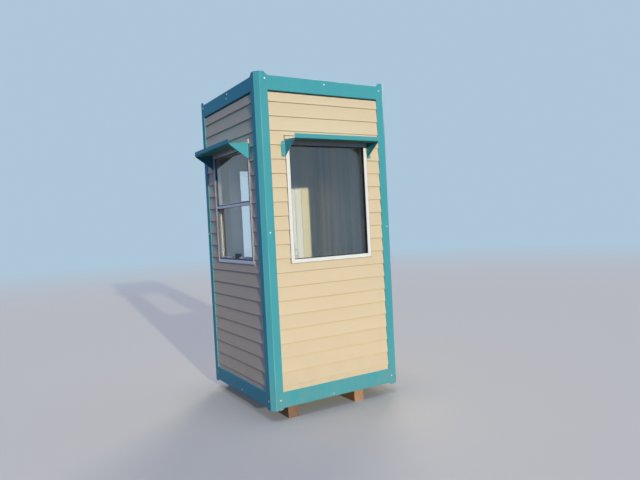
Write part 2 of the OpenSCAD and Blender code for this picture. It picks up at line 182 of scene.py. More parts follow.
def circle(radius, steps):
    """Points of a circle around the origin."""
    angles = [2 * math.pi * i / steps for i in range(steps)]
    return [(radius * math.cos(a), radius * math.sin(a)) for a in angles]


def rounded_plate(x0, x1, z0, z1, radius, steps=6):
    """Outline of a plate with round corners, as x and height."""
    corners = [(x1, z0, -90), (x1, z1, 0), (x0, z1, 90), (x0, z0, 180)]
    outline = []
    for x, z, start in corners:
        cx = x - math.copysign(radius, x - (x0 + x1) / 2)
        cz = z - math.copysign(radius, z - (z0 + z1) / 2)
        for i in range(steps + 1):
            angle = math.radians(start + 90 * i / steps)
            outline.append((cx + radius * math.cos(angle), cz + radius * math.sin(angle)))
    return outline


class Shape:
    """Closed solids gathered into one mesh, in one wall's directions or the booth's own."""

    def __init__(self):
        self.points = []
        self.faces = []

    def loft(self, rings):
        """Adds a closed solid through rings of as many points each."""
        base = len(self.points)
        count = len(rings[0])
        for ring in rings:
            self.points.extend(Vector(point) for point in ring)
        for r in range(len(rings) - 1):
            for i in range(count):
                a = base + r * count + i
                b = base + r * count + (i + 1) % count
                self.faces.append((a, b, b + count, a + count))
        last = base + (len(rings) - 1) * count
        self.faces.append(tuple(reversed(range(base, base + count))))
        self.faces.append(tuple(range(last, last + count)))

    def sheet(self, outer, inner, first, last):
        """Adds a bent sheet. first and last turn a point of the section into a place at either end."""
        base = len(self.points)
        count = len(outer)
        for place in (first, last):
            self.points.extend(Vector(place(p)) for p in outer)
            self.points.extend(Vector(place(p)) for p in inner)
        far = base + 2 * count
        for i in range(count - 1):
            for a, b in ((base, far), (base + count, far + count), (base, base + count), (far, far + count)):
                self.faces.append((a + i, a + i + 1, b + i + 1, b + i))
        for i in (0, count - 1):
            self.faces.append((base + i, base + count + i, far + count + i, far + i))

    def block(self, x0, x1, y0, y1, z0, z1):
        """Adds a block given by its limits."""
        self.loft([[(x0, y0, z), (x1, y0, z), (x1, y1, z), (x0, y1, z)] for z in (z0, z1)])

    def plate(self, rect, y0, y1):
        """Adds a block given by a rectangle x0, x1, z0, z1 and two depths."""
        self.block(rect[0], rect[1], y0, y1, rect[2], rect[3])

    def along_x(self, outline, *places):
        """Adds a prism whose outline is drawn as depth and height."""
        self.loft([[(x, y, z) for y, z in outline] for x in places])

    def along_y(self, outline, *places):
        """Adds a prism whose outline is drawn as x and height."""
        self.loft([[(x, y, z) for x, z in outline] for y in places])

    def along_z(self, outline, *places):
        """Adds a prism whose outline is drawn as x and depth."""
        self.loft([[(x, y, z) for x, y in outline] for z in places])

    def turned(self, profile, place, steps):
        """Adds a round solid. The profile gives radius and height along the place's own z."""
        self.loft([[place @ Vector((x, y, h)) for x, y in circle(max(r, 1e-5), steps)] for r, h in profile])

    def tube(self, path, radii, steps):
        """Adds a round bar that follows a path, with its radius at each point."""
        rings = []
        for i, point in enumerate(path):
            ahead = Vector(path[min(i + 1, len(path) - 1)]) - Vector(path[max(i - 1, 0)])
            turn = ahead.to_track_quat("Z", "Y").to_matrix()
            rings.append([Vector(point) + turn @ Vector((x, y, 0)) for x, y in circle(radii[i], steps)])
        self.loft(rings)

    def ring(self, rect, faces, section, sides="lrbt"):
        """Adds mitred members around a rectangle. faces is the width of a member, or one each for the left,
        right, bottom and top. section turns a width into distances from the outer edge and depths."""
        x0, x1, z0, z1 = rect
        width = dict(zip("lrbt", faces if isinstance(faces, tuple) else (faces,) * 4))
        for side in sides:
            rings = []
            for end, inwards in zip("bt" if side in "lr" else "lr", (1, -1)):
                slope = width[end] / width[side] if end in sides else 0.0
                ring = []
                for u, y in section(width[side]):
                    shift = inwards * (u * slope + MITRE_GAP)
                    if side in "lr":
                        x = x0 + u if side == "l" else x1 - u
                        ring.append((x, y, (z0 if inwards > 0 else z1) + shift))
                    else:
                        z = z0 + u if side == "b" else z1 - u
                        ring.append(((x0 if inwards > 0 else x1) + shift, y, z))
                rings.append(ring)
            self.loft(rings)


def placed(name, data):
    """A new object in the scene."""
    obj = bpy.data.objects.new(name, data)
    bpy.context.scene.collection.objects.link(obj)
    return obj


def plain_object(shape, name):
    """An object with the shape's mesh, its faces turned outwards."""
    mesh = bpy.data.meshes.new(name)
    mesh.from_pydata(shape.points, [], shape.faces)
    bm = bmesh.new()
    bm.from_mesh(mesh)
    bmesh.ops.recalc_face_normals(bm, faces=bm.faces)
    bm.to_mesh(mesh)
    bm.free()
    return placed(name, mesh)


def combine(obj, cutter_shape, operation):
    """Cuts or keeps what lies in another shape."""
    cutter = plain_object(cutter_shape, "cutter")
    modifier = obj.modifiers.new("cut", "BOOLEAN")
    modifier.operation = operation
    modifier.solver = "EXACT"
    modifier.object = cutter
    bpy.context.view_layer.update()
    graph = bpy.context.evaluated_depsgraph_get()
    mesh = bpy.data.meshes.new_from_object(obj.evaluated_get(graph))
    obj.modifiers.remove(modifier)
    obj.data = mesh
    bpy.data.objects.remove(cutter)


def soften(mesh, width, segments):
    """Rounds the edges of a mesh and shades it smooth between its sharp edges."""
    bevelled_over = math.radians(30)
    sharp_over = math.radians(50)
    bm = bmesh.new()
    bm.from_mesh(mesh)
    if width:
        edges = [e for e in bm.edges if e.is_manifold and e.calc_face_angle(0) > bevelled_over]
        bmesh.ops.bevel(
            bm, geom=edges, offset=width, offset_type="OFFSET", segments=segments,
            profile=0.5, affect="EDGES", clamp_overlap=True)
    for face in bm.faces:
        face.smooth = True
    for edge in bm.edges:
        edge.smooth = not edge.is_manifold or edge.calc_face_angle(0) < sharp_over
    bm.to_mesh(mesh)
    bm.free()


def piece(name, shape, material, wall=None, *, slot, edge=EDGE, segments=2, replaces=None, body="booth",
          cuts=(), keeps=()):
    """Makes a finished piece of the booth out of a shape."""
    obj = plain_object(shape, name)
    for cut in cuts:
        combine(obj, cut, "DIFFERENCE")
    for keep in keeps:
        combine(obj, keep, "INTERSECT")
    soften(obj.data, edge, segments)
    if wall:
        obj.data.transform(wall.matrix)
    obj.data.name = name
    obj.data.materials.clear()
    obj.data.materials.append(material)
    modifier = obj.modifiers.new("even normals", "WEIGHTED_NORMAL")
    modifier.keep_sharp = True
    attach(obj, body)
    if replaces:
        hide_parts(replaces)


def ring_piece(name, wall, material, *rings, **settings):
    """Makes a piece of mitred rings, each given as Shape.ring takes it."""
    shape = Shape()
    for ring in rings:
        shape.ring(*ring)
    piece(name, shape, material, wall, **settings)


def dressed_node(name, material, width=0.0008, segments=2):
    """Gives a node of the model its material and rounded edges."""
    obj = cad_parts[name]
    obj.data.materials.clear()
    obj.data.materials.append(material)
    for polygon in obj.data.polygons:
        polygon.use_smooth = True
    weld = obj.modifiers.new("weld", "WELD")
    weld.merge_threshold = 0.00002
    bevel = obj.modifiers.new("bevel", "BEVEL")
    bevel.width = width
    bevel.segments = segments
    bevel.limit_method = "ANGLE"
    bevel.angle_limit = math.radians(35)
    bevel.harden_normals = True


# Materials
def srgb(*colour):
    """A colour written as it looks on a screen, 0 to 255, as linear values."""
    shares = [value / 255 for value in colour]
    return (*(s / 12.92 if s <= 0.04045 else ((s + 0.055) / 1.055) ** 2.4 for s in shares), 1.0)


class Value:
    """A result of a shader node. Arithmetic on it adds further nodes."""

    def __init__(self, nodes, socket):
        self.nodes = nodes
        self.socket = socket

    def __add__(self, other):
        return self.nodes.math("ADD", self, other)

    def __sub__(self, other):
        return self.nodes.math("SUBTRACT", self, other)

    def __mul__(self, other):
        return self.nodes.math("MULTIPLY", self, other)

    def __truediv__(self, other):
        return self.nodes.math("DIVIDE", self, other)

    def to(self, low, high, a=0.3, b=0.7, ease="LINEAR"):
        """Maps the range from a to b to the one from low to high, and stays inside it."""
        inputs = {"Value": self, "From Min": a, "From Max": b, "To Min": low, "To Max": high}
        return self.nodes.made("ShaderNodeMapRange", "Result", inputs, clamp=True, interpolation_type=ease)


class Nodes:
    """The nodes of a material or of the world."""

    def __init__(self, owner):
        owner.use_nodes = True
        self.tree = owner.node_tree
        self.tree.nodes.clear()

    def put(self, socket, value):
        """Links a socket to a result, or sets its value."""
        if isinstance(value, Value):
            self.tree.links.new(value.socket, socket)
        else:
            socket.default_value = value

    def made(self, kind, output, inputs=(), **settings):
        """Adds a node, with values for inputs given by name or number, and gives one of its outputs."""
        node = self.tree.nodes.new(kind)
        for key, value in settings.items():
            setattr(node, key, value)
        for key, value in dict(inputs).items():
            self.put(node.inputs[key], value)
        return Value(self, node.outputs[output])

    def math(self, operation, a, b=0.0):
        return self.made("ShaderNodeMath", 0, {0: a, 1: b}, operation=operation)

    def parts(self, vector):
        """The x, y and z of a vector."""
        first = self.made("ShaderNodeSeparateXYZ", 0, {0: vector})
        return [Value(self, socket) for socket in first.socket.node.outputs]

    def joined(self, x, y, z):
        return self.made("ShaderNodeCombineXYZ", 0, {0: x, 1: y, 2: z})

    def coloured(self, kind, colour):
        """A plain shader of one colour."""
        return self.made(kind, 0, {"Color": colour})

    def mixed(self, share, a, b):
        """Mixes two shaders."""
        return self.made("ShaderNodeMixShader", 0, {0: share, 1: a, 2: b})

    def blend(self, share, a, b, kind="MIX"):
        """Mixes two colours."""
        return self.made("ShaderNodeMix", 2, {"Factor": share, 6: a, 7: b}, data_type="RGBA", blend_type=kind)

    def shade(self, colour, amount):
        """A colour made lighter or darker by a factor around 1."""
        return self.blend(1.0, colour, self.joined(amount, amount, amount), "MULTIPLY")


class Material(Nodes):
    """Builds one material, with coordinates in metres."""

    def __init__(self, name):
        self.material = bpy.data.materials.new(name)
        super().__init__(self.material)
        self.surface = self.made("ShaderNodeBsdfPrincipled", 0)
        self.place = self.made("ShaderNodeTexCoord", "Object")

    def noise(self, scale, detail=3.0, place=None, roughness=0.5):
        """Noise from 0 to 1. scale is a number, or one for each direction."""
        place = place or self.place
        if isinstance(scale, tuple):
            place = self.made("ShaderNodeVectorMath", 0, {0: place, 1: scale}, operation="MULTIPLY")
            scale = 1.0
        inputs = {"Vector": place, "Scale": scale, "Detail": detail, "Roughness": roughness}
        return self.made("ShaderNodeTexNoise", "Fac", inputs)

    def bump(self, height, distance, strength, under=None):
        """A normal, on top of another one if that is given."""
        inputs = {"Height": height, "Distance": distance, "Strength": strength}
        if under:
            inputs["Normal"] = under
        return self.made("ShaderNodeBump", 0, inputs)

    def set(self, **values):
        """Sets the inputs of the main shader by name, with _ for a space."""
        for key, value in values.items():
            self.put(self.surface.socket.node.inputs[key.replace("_", " ")], value)

    def shown(self, surface):
        """Ends the material with a shader and gives it."""
        self.put(self.tree.nodes.new("ShaderNodeOutputMaterial").inputs["Surface"], surface)
        return self.material

    def finished(self, colour, rough, normal, specular=0.5, **more):
        self.set(Base_Color=colour, Roughness=rough, Normal=normal, Specular_IOR_Level=specular, **more)
        return self.shown(self.surface)


DUST = srgb(168, 156, 136)


def with_dust(nodes, colour, top, most):
    """Adds dust that gets thinner up to a height."""
    low = nodes.parts(nodes.place)[2].to(1.0, 0.0, 0.05, top)
    mask = nodes.math("POWER", low, 2.0) * nodes.noise(9.0, 5.0).to(0.0, 1.0, 0.35)
    mask = mask * nodes.noise(70.0).to(0.35, 1.0, 0.3, 0.65)
    return nodes.blend(mask * most, colour, DUST), mask


def upright_fold_glint(nodes):
    """1 on the upright folds between flat faces, where a painted highlight stands for light glinting on the
    bend, and 0 on the faces.
    """
    facing = nodes.parts(nodes.made("ShaderNodeNewGeometry", "Normal"))
    across, ahead = (nodes.math("ABSOLUTE", part) for part in facing[:2])
    least = nodes.math("MINIMUM", across, ahead)
    apart = nodes.math("ABSOLUTE", across - ahead)
    return least.to(0.0, 1.0, 0.08, 0.2) * apart.to(0.0, 1.0, 0.08, 0.25)


def teal_paint():
    nodes = Material("teal_paint")
    streak = nodes.noise((26.0, 26.0, 1.6), 4.0)
    colour = nodes.shade(srgb(81, 173, 183), nodes.noise(1.7).to(0.965, 1.02) + streak.to(-0.02, 0.02))
    colour = nodes.blend(nodes.noise(310.0, 2.0).to(0.0, 0.35, 0.72, 0.76), colour, srgb(150, 196, 198))
    # Painted highlight: paler teal on the upright bends, broken up by noise, for light glinting on them.
    glint_breakup = nodes.noise((8.0, 8.0, 2.4)).to(0.1, 0.8, 0.35, 0.65)
    colour = nodes.blend(upright_fold_glint(nodes) * glint_breakup, colour, srgb(176, 220, 217))
    colour, dust = with_dust(nodes, colour, 0.5, 0.5)
    peel = nodes.bump(nodes.noise(420.0, 2.0), 0.00012, 0.6)
    normal = nodes.bump(nodes.noise(7.0, 2.0), 0.0012, 0.35, peel)
    rough = streak.to(0.34, 0.46, 0.25, 0.75) + dust * 0.3
    return nodes.finished(colour, rough, normal, 0.05)


def vinyl_siding():
    nodes = Material("vinyl_siding")
    x, y, z = nodes.parts(nodes.place)
    below = nodes.math("SUBTRACT", WALL_Z1 - FIRST_COURSE + COURSE, z)
    board = nodes.math("FLOOR", below / COURSE)
    shift = board * 7.31
    along = x + y + shift
    flat = nodes.joined(along, shift, z)
    grain = nodes.noise((5.0, 1.0, 330.0), 5.0, flat, 0.6)
    rings = nodes.math("SINE", nodes.noise((2.2, 1.0, 46.0), 3.0, flat, 0.45) * 38.0)
    chance = nodes.made("ShaderNodeTexWhiteNoise", "Value", {"W": board}, noise_dimensions="1D")
    tone = chance.to(0.985, 1.012, 0.0, 1.0) + grain.to(-0.018, 0.012)
    tone = tone + nodes.noise(2.3, 3.0, nodes.joined(along, z, shift)).to(-0.012, 0.012)
    colour, dust = with_dust(nodes, nodes.shade(srgb(230, 211, 177), tone), 0.75, 0.3)
    relief = nodes.bump(grain + rings * 0.12, 0.0004, 0.55)
    buckled = nodes.bump(nodes.noise((3.0, 1.0, 9.0), 1.0, flat), 0.002, 0.3, relief)
    return nodes.finished(colour, grain.to(0.5, 0.62) + dust * 0.2, buckled, 0.25)


def white_pvc():
    nodes = Material("white_pvc")
    smear = nodes.noise((40.0, 40.0, 9.0), 4.0)
    tone = nodes.noise(5.0).to(0.975, 1.0) + smear.to(0.0, -0.03, 0.45, 0.75)
    normal = nodes.bump(nodes.noise(600.0, 2.0), 0.00006, 0.5)
    return nodes.finished(
        nodes.shade(srgb(248, 248, 244), tone), smear.to(0.24, 0.4), normal,
        Coat_Weight=0.08, Coat_Roughness=0.12)


def black_rubber():
    nodes = Material("black_rubber")
    speck = nodes.noise(260.0)
    colour = nodes.blend(speck.to(0.0, 1.0, 0.4, 0.8), srgb(17, 17, 18), srgb(38, 37, 36))
    normal = nodes.bump(speck, 0.0002, 0.4)
    return nodes.finished(colour, speck.to(0.5, 0.72), normal, 0.4)


def soft_plastic(name, clean, dusty, smooth, rough):
    """Matt sealant or liner with dust in its pores."""
    nodes = Material(name)
    speck = nodes.noise(310.0)
    share = nodes.noise(24.0, 4.0).to(0.0, 1.0) * speck.to(0.4, 1.0)
    normal = nodes.bump(speck, 0.0002, 0.4)
    return nodes.finished(
        nodes.blend(share, clean, dusty), share.to(smooth, rough, 0.0, 1.0), normal, 0.3)


def glass(name, tint, ior):
    """Glass whose tint holds for one surface, so a pane has it twice. Light from lamps and from matt
    surfaces goes straight through, and less of it where it meets the glass at a flat angle."""
    nodes = Material(name)
    nodes.set(Base_Color=tint, Roughness=0.0, IOR=ior, Transmission_Weight=1.0)
    inside = nodes.made("ShaderNodeNewGeometry", "Backfacing")
    mirrored = nodes.made("ShaderNodeFresnel", 0, {"IOR": inside.to(ior, 1 / ior, 0.0, 1.0)})
    passed = nodes.coloured("ShaderNodeBsdfTransparent", nodes.blend(mirrored, tint, (0.0, 0.0, 0.0, 1.0)))
    surface = nodes.surface
    for ray in ("Is Diffuse Ray", "Is Shadow Ray"):
        surface = nodes.mixed(nodes.made("ShaderNodeLightPath", ray), surface, passed)
    return nodes.shown(surface)


def zinc(name, low, high, metallic, smooth, rough):
    """Zinc coated steel with its soft patches of crystals."""
    nodes = Material(name)
    crystals = nodes.made("ShaderNodeTexVoronoi", "Color", {"Vector": nodes.place, "Scale": 95.0})
    patch = nodes.made("ShaderNodeSeparateColor", 0, {0: crystals}) * 0.5 + nodes.noise(8.0) * 0.5
    colour = nodes.blend(patch.to(0.0, 1.0, 0.2, 0.8), low, high)
    normal = nodes.bump(nodes.noise(500.0, 2.0), 0.00005, 0.5)
    return nodes.finished(colour, patch.to(smooth, rough, 0.2, 0.8), normal, Metallic=metallic)


def sawn_timber(name, pale, dark, pith, ring_w, cracked):
    """Timber with growth rings around a pith line that runs along y."""
    nodes = Material(name)
    x, _, z = nodes.parts(nodes.place)
    dx = x - pith[0]
    dz = z - pith[1]
    reach = nodes.math("SQRT", dx * dx + dz * dz)
    ring = reach / ring_w + nodes.noise((3.0, 2.0, 3.0), 2.0) * 3.0
    late = nodes.math("POWER", nodes.math("FRACT", ring), 3.0).to(0.0, 1.0, 0.1, 0.9)
    fibre = nodes.noise((260.0, 5.0, 260.0), 4.0)
    colour = nodes.shade(nodes.blend(late * 0.65, pale, dark), fibre.to(0.78, 1.12, 0.25, 0.75))
    colour = nodes.shade(colour, nodes.noise(6.0, 4.0).to(0.72, 1.08))
    slit = nodes.noise((120.0, 2.2, 120.0)).to(0.0, cracked, 0.66, 0.7)
    colour = nodes.blend(slit, colour, srgb(38, 26, 18))
    normal = nodes.bump(fibre * 0.6 + late * 0.3 - slit, 0.0012, 0.7)
    return nodes.finished(colour, fibre.to(0.72, 0.9), normal, 0.25)


def lining_board(name, pale, dark, along):
    """Printed wood grain on smooth board. along stretches the grain in each direction."""
    nodes = Material(name)
    figure = nodes.noise(tuple(scale * 3.5 for scale in along), 1.5)
    colour = nodes.blend(nodes.noise(along, 2.0).to(0.0, 1.0, 0.32, 0.68), dark, pale)
    colour = nodes.shade(colour, nodes.noise(2.4).to(0.95, 1.03) + figure.to(-0.03, 0.03))
    normal = nodes.bump(figure, 0.00005, 0.4)
    return nodes.finished(colour, figure.to(0.4, 0.52), normal, 0.35)


def floor_sheet():
    nodes = Material("floor_sheet")
    grain = nodes.noise((4.0, 90.0, 4.0), 5.0)
    rings = nodes.math("SINE", nodes.noise((2.0, 14.0, 2.0), 2.0) * 30.0)
    colour = nodes.blend(rings.to(0.15, 0.7, -1.0, 1.0), srgb(176, 142, 104), srgb(139, 103, 70))
    colour = nodes.shade(colour, grain.to(0.82, 1.08, 0.25, 0.75))
    scuff = nodes.noise(11.0, 6.0)
    colour = nodes.blend(scuff.to(0.0, 0.4, 0.55, 0.75), colour, DUST)
    normal = nodes.bump(grain, 0.0003, 0.5)
    return nodes.finished(colour, scuff.to(0.4, 0.65), normal, 0.4)


def foam_core():
    nodes = Material("foam_core")
    depth = nodes.made("ShaderNodeTexVoronoi", "Distance", {"Vector": nodes.place, "Scale": 240.0})
    colour = nodes.blend(depth.to(0.0, 1.0, 0.0, 0.8), srgb(232, 230, 224), srgb(196, 193, 184))
    return nodes.finished(colour, 0.9, nodes.bump(depth, 0.0006, -0.6))


TEAL = teal_paint()
VINYL = vinyl_siding()
PVC = white_pvc()
RUBBER = black_rubber()
GLASS = glass("clear_glass", (0.994, 0.998, 0.997, 1.0), 1.45)
LINER = soft_plastic("jamb_liner", srgb(100, 99, 95), srgb(124, 119, 108), 0.5, 0.8)
GREY_SEAL = soft_plastic("grey_seal", srgb(78, 78, 76), srgb(104, 100, 92), 0.5, 0.75)
LATCH_PLASTIC = soft_plastic("latch_plastic", srgb(22, 22, 23), srgb(46, 44, 41), 0.35, 0.6)
SEALANT = soft_plastic("sealant", srgb(176, 168, 150), srgb(152, 141, 120), 0.45, 0.75)
SCREW_ZINC = zinc("screw_zinc", srgb(188, 192, 194), srgb(226, 228, 228), 0.85, 0.28, 0.42)
ROOF_ZINC = zinc("roof_zinc", srgb(150, 157, 160), srgb(176, 182, 184), 0.25, 0.42, 0.58)
SPACER = zinc("spacer_metal", srgb(120, 122, 123), srgb(146, 148, 149), 0.7, 0.4, 0.55)
UPRIGHT = (11.0, 11.0, 0.35)
# Painted shade: the grey boards of the front and side walls and the darker ceiling boards are shaded copies
# of the back wall's cream board.
LINING = lining_board("shaded_grey_board", srgb(190, 180, 154), srgb(140, 131, 110), UPRIGHT)
CREAM_LINING = lining_board("cream_board", srgb(240, 228, 192), srgb(232, 218, 182), UPRIGHT)
CEILING = lining_board("ceiling_board", srgb(138, 133, 120), srgb(100, 95, 86), (11.0, 0.35, 11.0))
FLOOR_SHEET = floor_sheet()
FOAM = foam_core()
JOIST_WOOD = sawn_timber("joist_wood", srgb(196, 160, 114), srgb(150, 108, 66), (MID_X, -0.2), 0.006, 0.4)


# Steel frame
def corner_post(name, side_x, side_y):
    """Bent corner sheet whose ends slope down to the beams, with a plate at its top and bottom."""
    low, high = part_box(name)
    corner = Vector((low.x if side_x > 0 else high.x, low.y if side_y > 0 else high.y))
    leg = high.x - low.x
    rise = high.z - FRAME_Z1
    drop = FRAME_Z0 - low.z
    leg_points = [(leg, 0), (leg - drop, 0), (leg - rise, 0), (POST_BEVEL, 0)]
    line = [(leg, POST_RETURN), *leg_points, *[(b, a) for a, b in reversed(leg_points)], (POST_RETURN, leg)]
    radii = [FOLD_EDGE] + [STEEL_BEND] * (len(line) - 4) + [FOLD_EDGE]
    outer = rounded_line(line, radii)
    inner = rounded_line(moved_line(line, STEEL_T), [max(radius - STEEL_T, FIT) for radius in radii])

    def place(point, z, reach):
        along = max(0.0, min(abs(reach), leg - max(point)))
        return (corner.x + side_x * point[0], corner.y + side_y * point[1], z + math.copysign(along, reach))

    shape = Shape()
    shape.sheet(outer, inner, lambda p: place(p, FRAME_Z0, -drop), lambda p: place(p, FRAME_Z1, rise))
    inset_by = STEEL_T + FIT
    end = leg - inset_by
    bevel = POST_BEVEL + STEEL_T * (math.sqrt(2) - 1) + FIT
    plate = [(end, inset_by), (bevel, inset_by), (inset_by, bevel), (inset_by, end), (end, end)]
    for z0 in (FRAME_Z0, FRAME_Z1 - STEEL_T):
        shape.loft([[place(p, z, 0.0) for p in plate] for z in (z0, z0 + STEEL_T)])
    piece(name + "_sheet", shape, TEAL, edge=0.0005, replaces=name, slot="steel")


def folded_piece(name, node, wall, line, bend, thickness, x0, x1, slot):
    """A sheet folded along a line of depths and heights, from x0 to x1."""
    outer = rounded_line(line, bend)
    inner = rounded_line(moved_line(line, thickness), bend - thickness)
    shape = Shape()
    shape.sheet(outer, inner, lambda p: (x0, *p), lambda p: (x1, *p))
    piece(name, shape, TEAL, wall, edge=0.0005, replaces=node, slot=slot)


def beam(node, wall):
    """Bent channel, open towards the room, a seam shorter than the gap between its posts."""
    x0, x1, y0, y1, z0, z1 = wall.span(node)
    line = [(y1, z0), (y0, z0), (y0, z1), (y1, z1)]
    folded_piece(
        node + "_channel", node, wall, line, STEEL_BEND, STEEL_T, x0 + BEAM_SEAM, x1 - BEAM_SEAM, "steel")


def screw_head(shape, place, size=1.0):
    """Flanged hexagon head that stands out along the place's own z."""
    washer = [(0.0002, -0.0002), (0.0072, -0.0002), (0.0072, 0.0004), (0.0052, 0.0014), (0.0002, 0.0014)]
    hexagon = [(0.0046, 0.001), (0.0046, 0.0046), (0.0038, 0.0053), (0.0015, 0.0054)]
    for profile, steps in ((washer, 20), (hexagon, 6)):
        shape.turned([(r * size, h * size) for r, h in profile], place, steps)


def head_place(x, y, z, rng):
    """Where a screw stands on a wall, turned and tipped a little by chance."""
    outwards = Matrix.Rotation(math.radians(90 + rng.uniform(-4, 4)), 4, "X")
    turned = Matrix.Rotation(rng.uniform(0, math.pi / 3), 4, "Z")
    return Matrix.Translation((x, y, z)) @ outwards @ turned


# Screws through the frame, as places to the right of the wall's middle and heights above the ground
FRONT_SCREWS = [
    (-0.522, 2.563), (-0.006, 2.559), (0.531, 2.553), (-0.542, 1.416), (0.554, 1.415),
    (-0.528, 0.151), (-0.057, 0.112), (0.528, 0.15),
]
SIDE_SCREWS = [
    (0.049, 2.562), (0.032, 2.527), (-0.525, 2.562), (-0.544, 1.424), (-0.518, 0.157),
    (0.034, 0.121), (0.541, 0.148),
]
SCREWS = {"front": FRONT_SCREWS, "left": SIDE_SCREWS, "right": SIDE_SCREWS, "back": FRONT_SCREWS}


def frame_screws(side):
    rng = random.Random(side)
    shape = Shape()
    for x, z in SCREWS[side]:
        screw_head(shape, head_place(x, 0.0, z, rng))
    piece(f"{side}_frame_screws", shape, SCREW_ZINC, WALLS[side], edge=0.0002, slot="steel")


def steel_frame():
    for name_y, side_y in (("front", 1), ("back", -1)):
        for name_x, side_x in (("left", 1), ("right", -1)):
            corner_post(f"corner_post_{name_y}_{name_x}", side_x, side_y)
    for side, wall in WALLS.items():
        beam(f"bottom_beam_{side}", wall)
        beam(f"top_beam_{side}", wall)
        frame_screws(side)


# Siding
CUT_OUT = -0.02
CUT_DEPTH = 0.1
TRIM_CUT_DEPTH = 0.04
TRIM_CUT_BELOW = 0.002
LEAST_COURSE = 0.004
TOP_SHADE_STRIP_T = 0.002


def hole(side, node, over=0.0, below=0.0):
    """A block that cuts a hole for a node, as wide as its outside."""
    x0, x1, _, _, z0, z1 = WALLS[side].span(node)
    shape = Shape()
    shape.block(x0 - FIT - over, x1 + FIT + over, CUT_OUT, CUT_DEPTH, z0 - FIT - below, z1 + FIT)
    return shape


def trim_limits(side):
    """Ends, bottom and top of the trim above a window."""
    window = WALLS[side].span(f"{side}_window_frame")
    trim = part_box("window_head_trims")[1]
    over = trim.x - MID_X - (window.x1 - window.x0) / 2 + FIT
    return window.x0 - over, window.x1 + over, window.z1, trim.z + FIT


def trim_hole(side):
    """A block that cuts a hole for the trim above a window and the gap around it."""
    x0, x1, z0, z1 = trim_limits(side)
    shape = Shape()
    shape.block(x0 - TRIM_GAP, x1 + TRIM_GAP, CUT_OUT, TRIM_CUT_DEPTH, z0 - TRIM_CUT_BELOW, z1 + TRIM_TOP_GAP)
    return shape


def trim_gap_shade(side):
    """Black strips at the bottom of the gap around a trim: painted shade that keeps the gap dark where light
    would fall on the wall core.
    """
    x0, x1, z0, z1 = trim_limits(side)
    depths = (TRIM_GAP_DEPTH, SIDING_BACK - FIT)
    shape = Shape()
    shape.plate((x0 - TRIM_GAP, x1 + TRIM_GAP, z1, z1 + TRIM_TOP_GAP - FIT), *depths)
    for a in (x0 - TRIM_GAP + FIT, x1):
        shape.plate((a, a + TRIM_GAP - FIT, z0, z1 - FIT), *depths)
    piece(f"{side}_trim_gap_shade", shape, RUBBER, WALLS[side], edge=0.0003, segments=1, slot="siding")


def board_outline(z_top, z_butt, lap):
    """Section of one course: depth and height. lap is the height at which it would end in full."""
    def depth(z):
        return SIDING_SET + SIDING_STEP * (z - lap) / COURSE

    top = z_top - LAP_GAP
    outline = [(SIDING_BACK, top), (depth(top), top)]
    if z_butt > lap + 1e-6:
        outline += [(depth(z_butt), z_butt)]
    else:
        for i in range(6):
            angle = math.radians(180 + 18 * i)
            y = SIDING_SET + BUTT_RADIUS * (1 + math.cos(angle))
            outline.append((y, z_butt + BUTT_RADIUS * (1 + math.sin(angle))))
    return outline + [(SIDING_BACK, z_butt)]


def siding(side, holes):
    """All courses of one wall, each a board of its own."""
    wall = WALLS[side]
    shape = Shape()
    half = wall.half - FIT
    top = WALL_Z1 - TOP_GAP
    lap = WALL_Z1 - FIRST_COURSE
    while top > WALL_Z0 + LEAST_COURSE:
        shape.along_x(board_outline(top, max(lap, WALL_Z0), lap), -half, half)
        top = lap
        lap -= COURSE
    piece(
        f"{side}_siding_boards", shape, VINYL, wall, edge=0.0003, segments=1,
        replaces=f"{side}_siding", slot="siding", cuts=holes)
    # Painted shade: a black strip behind the gap under the top beam keeps the gap dark.
    gap = (-half, half, WALL_Z1 - TOP_GAP + FIT, WALL_Z1 - FIT)
    strip = Shape()
    strip.plate(gap, SIDING_BACK - TOP_SHADE_STRIP_T, SIDING_BACK - FIT)
    piece(f"{side}_siding_top_shade_strip", strip, RUBBER, wall, edge=0.0003, segments=1, slot="siding")


def all_siding():
    for side in ("front", "left"):
        siding(side, [hole(side, f"{side}_window_frame", over=SEALANT_W, below=SEALANT_W), trim_hole(side)])
        # Painted shade: black strips that darken the gap around the trim.
        trim_gap_shade(side)
    siding("right", [])
    siding("back", [hole("back", "door_frame", below=0.01)])


# Sections of white profiles, as distances from the outer edge and depths for the width of a member
def box_section(y0, y1):
    """A plain section between two depths."""
    return lambda face: [(0, y0), (face, y0), (face, y1), (0, y1)]


def rebated_section(y0, y1, g0):
    """A section with a rebate that takes a pane and its bead from the room."""
    return lambda face: [(0, y0), (face, y0), (face, g0), (face - REBATE, g0), (face - REBATE, y1), (0, y1)]


def lip_section(y_free, y_glass, deep=0.0025, step=0.004):
    """A thin lining that ends in a lip on the glass."""
    return lambda face: [
        (0, y_free), (deep, y_free), (deep, y_glass - step), (face, y_glass - step / 2), (face, y_glass),
        (0, y_glass)]


def bead_section(y_glass, y_room):
    """A glazing bead that slopes from the pane up to the frame."""
    rise = y_room - y_glass
    return lambda face: [
        (0, y_glass), (face, y_glass), (face, y_glass + 0.35 * rise), (face * 0.72, y_glass + 0.62 * rise),
        (face * 0.25, y_room), (0, y_room)]


def double_pane(name, wall, rect, y0, y1, replaces, body="booth"):
    """Two panes and the spacer between them."""
    shape = Shape()
    shape.plate(rect, y0, y0 + PANE_T)
    shape.plate(rect, y1 - PANE_T, y1)
    piece(name, shape, GLASS, wall, segments=1, replaces=replaces, slot="glass", body=body)
    spacer = box_section(y0 + PANE_T + FIT, y1 - PANE_T - FIT)
    ring_piece(
        name + "_spacer", wall, SPACER, (inset(rect, SPACER_SET), SPACER_W, spacer), edge=0.0006,
        slot="window_frame", body=body)


# Windows
REVEAL_W = 0.0045
SEAL_SET = 0.0022
BEAD_SET = 0.0008


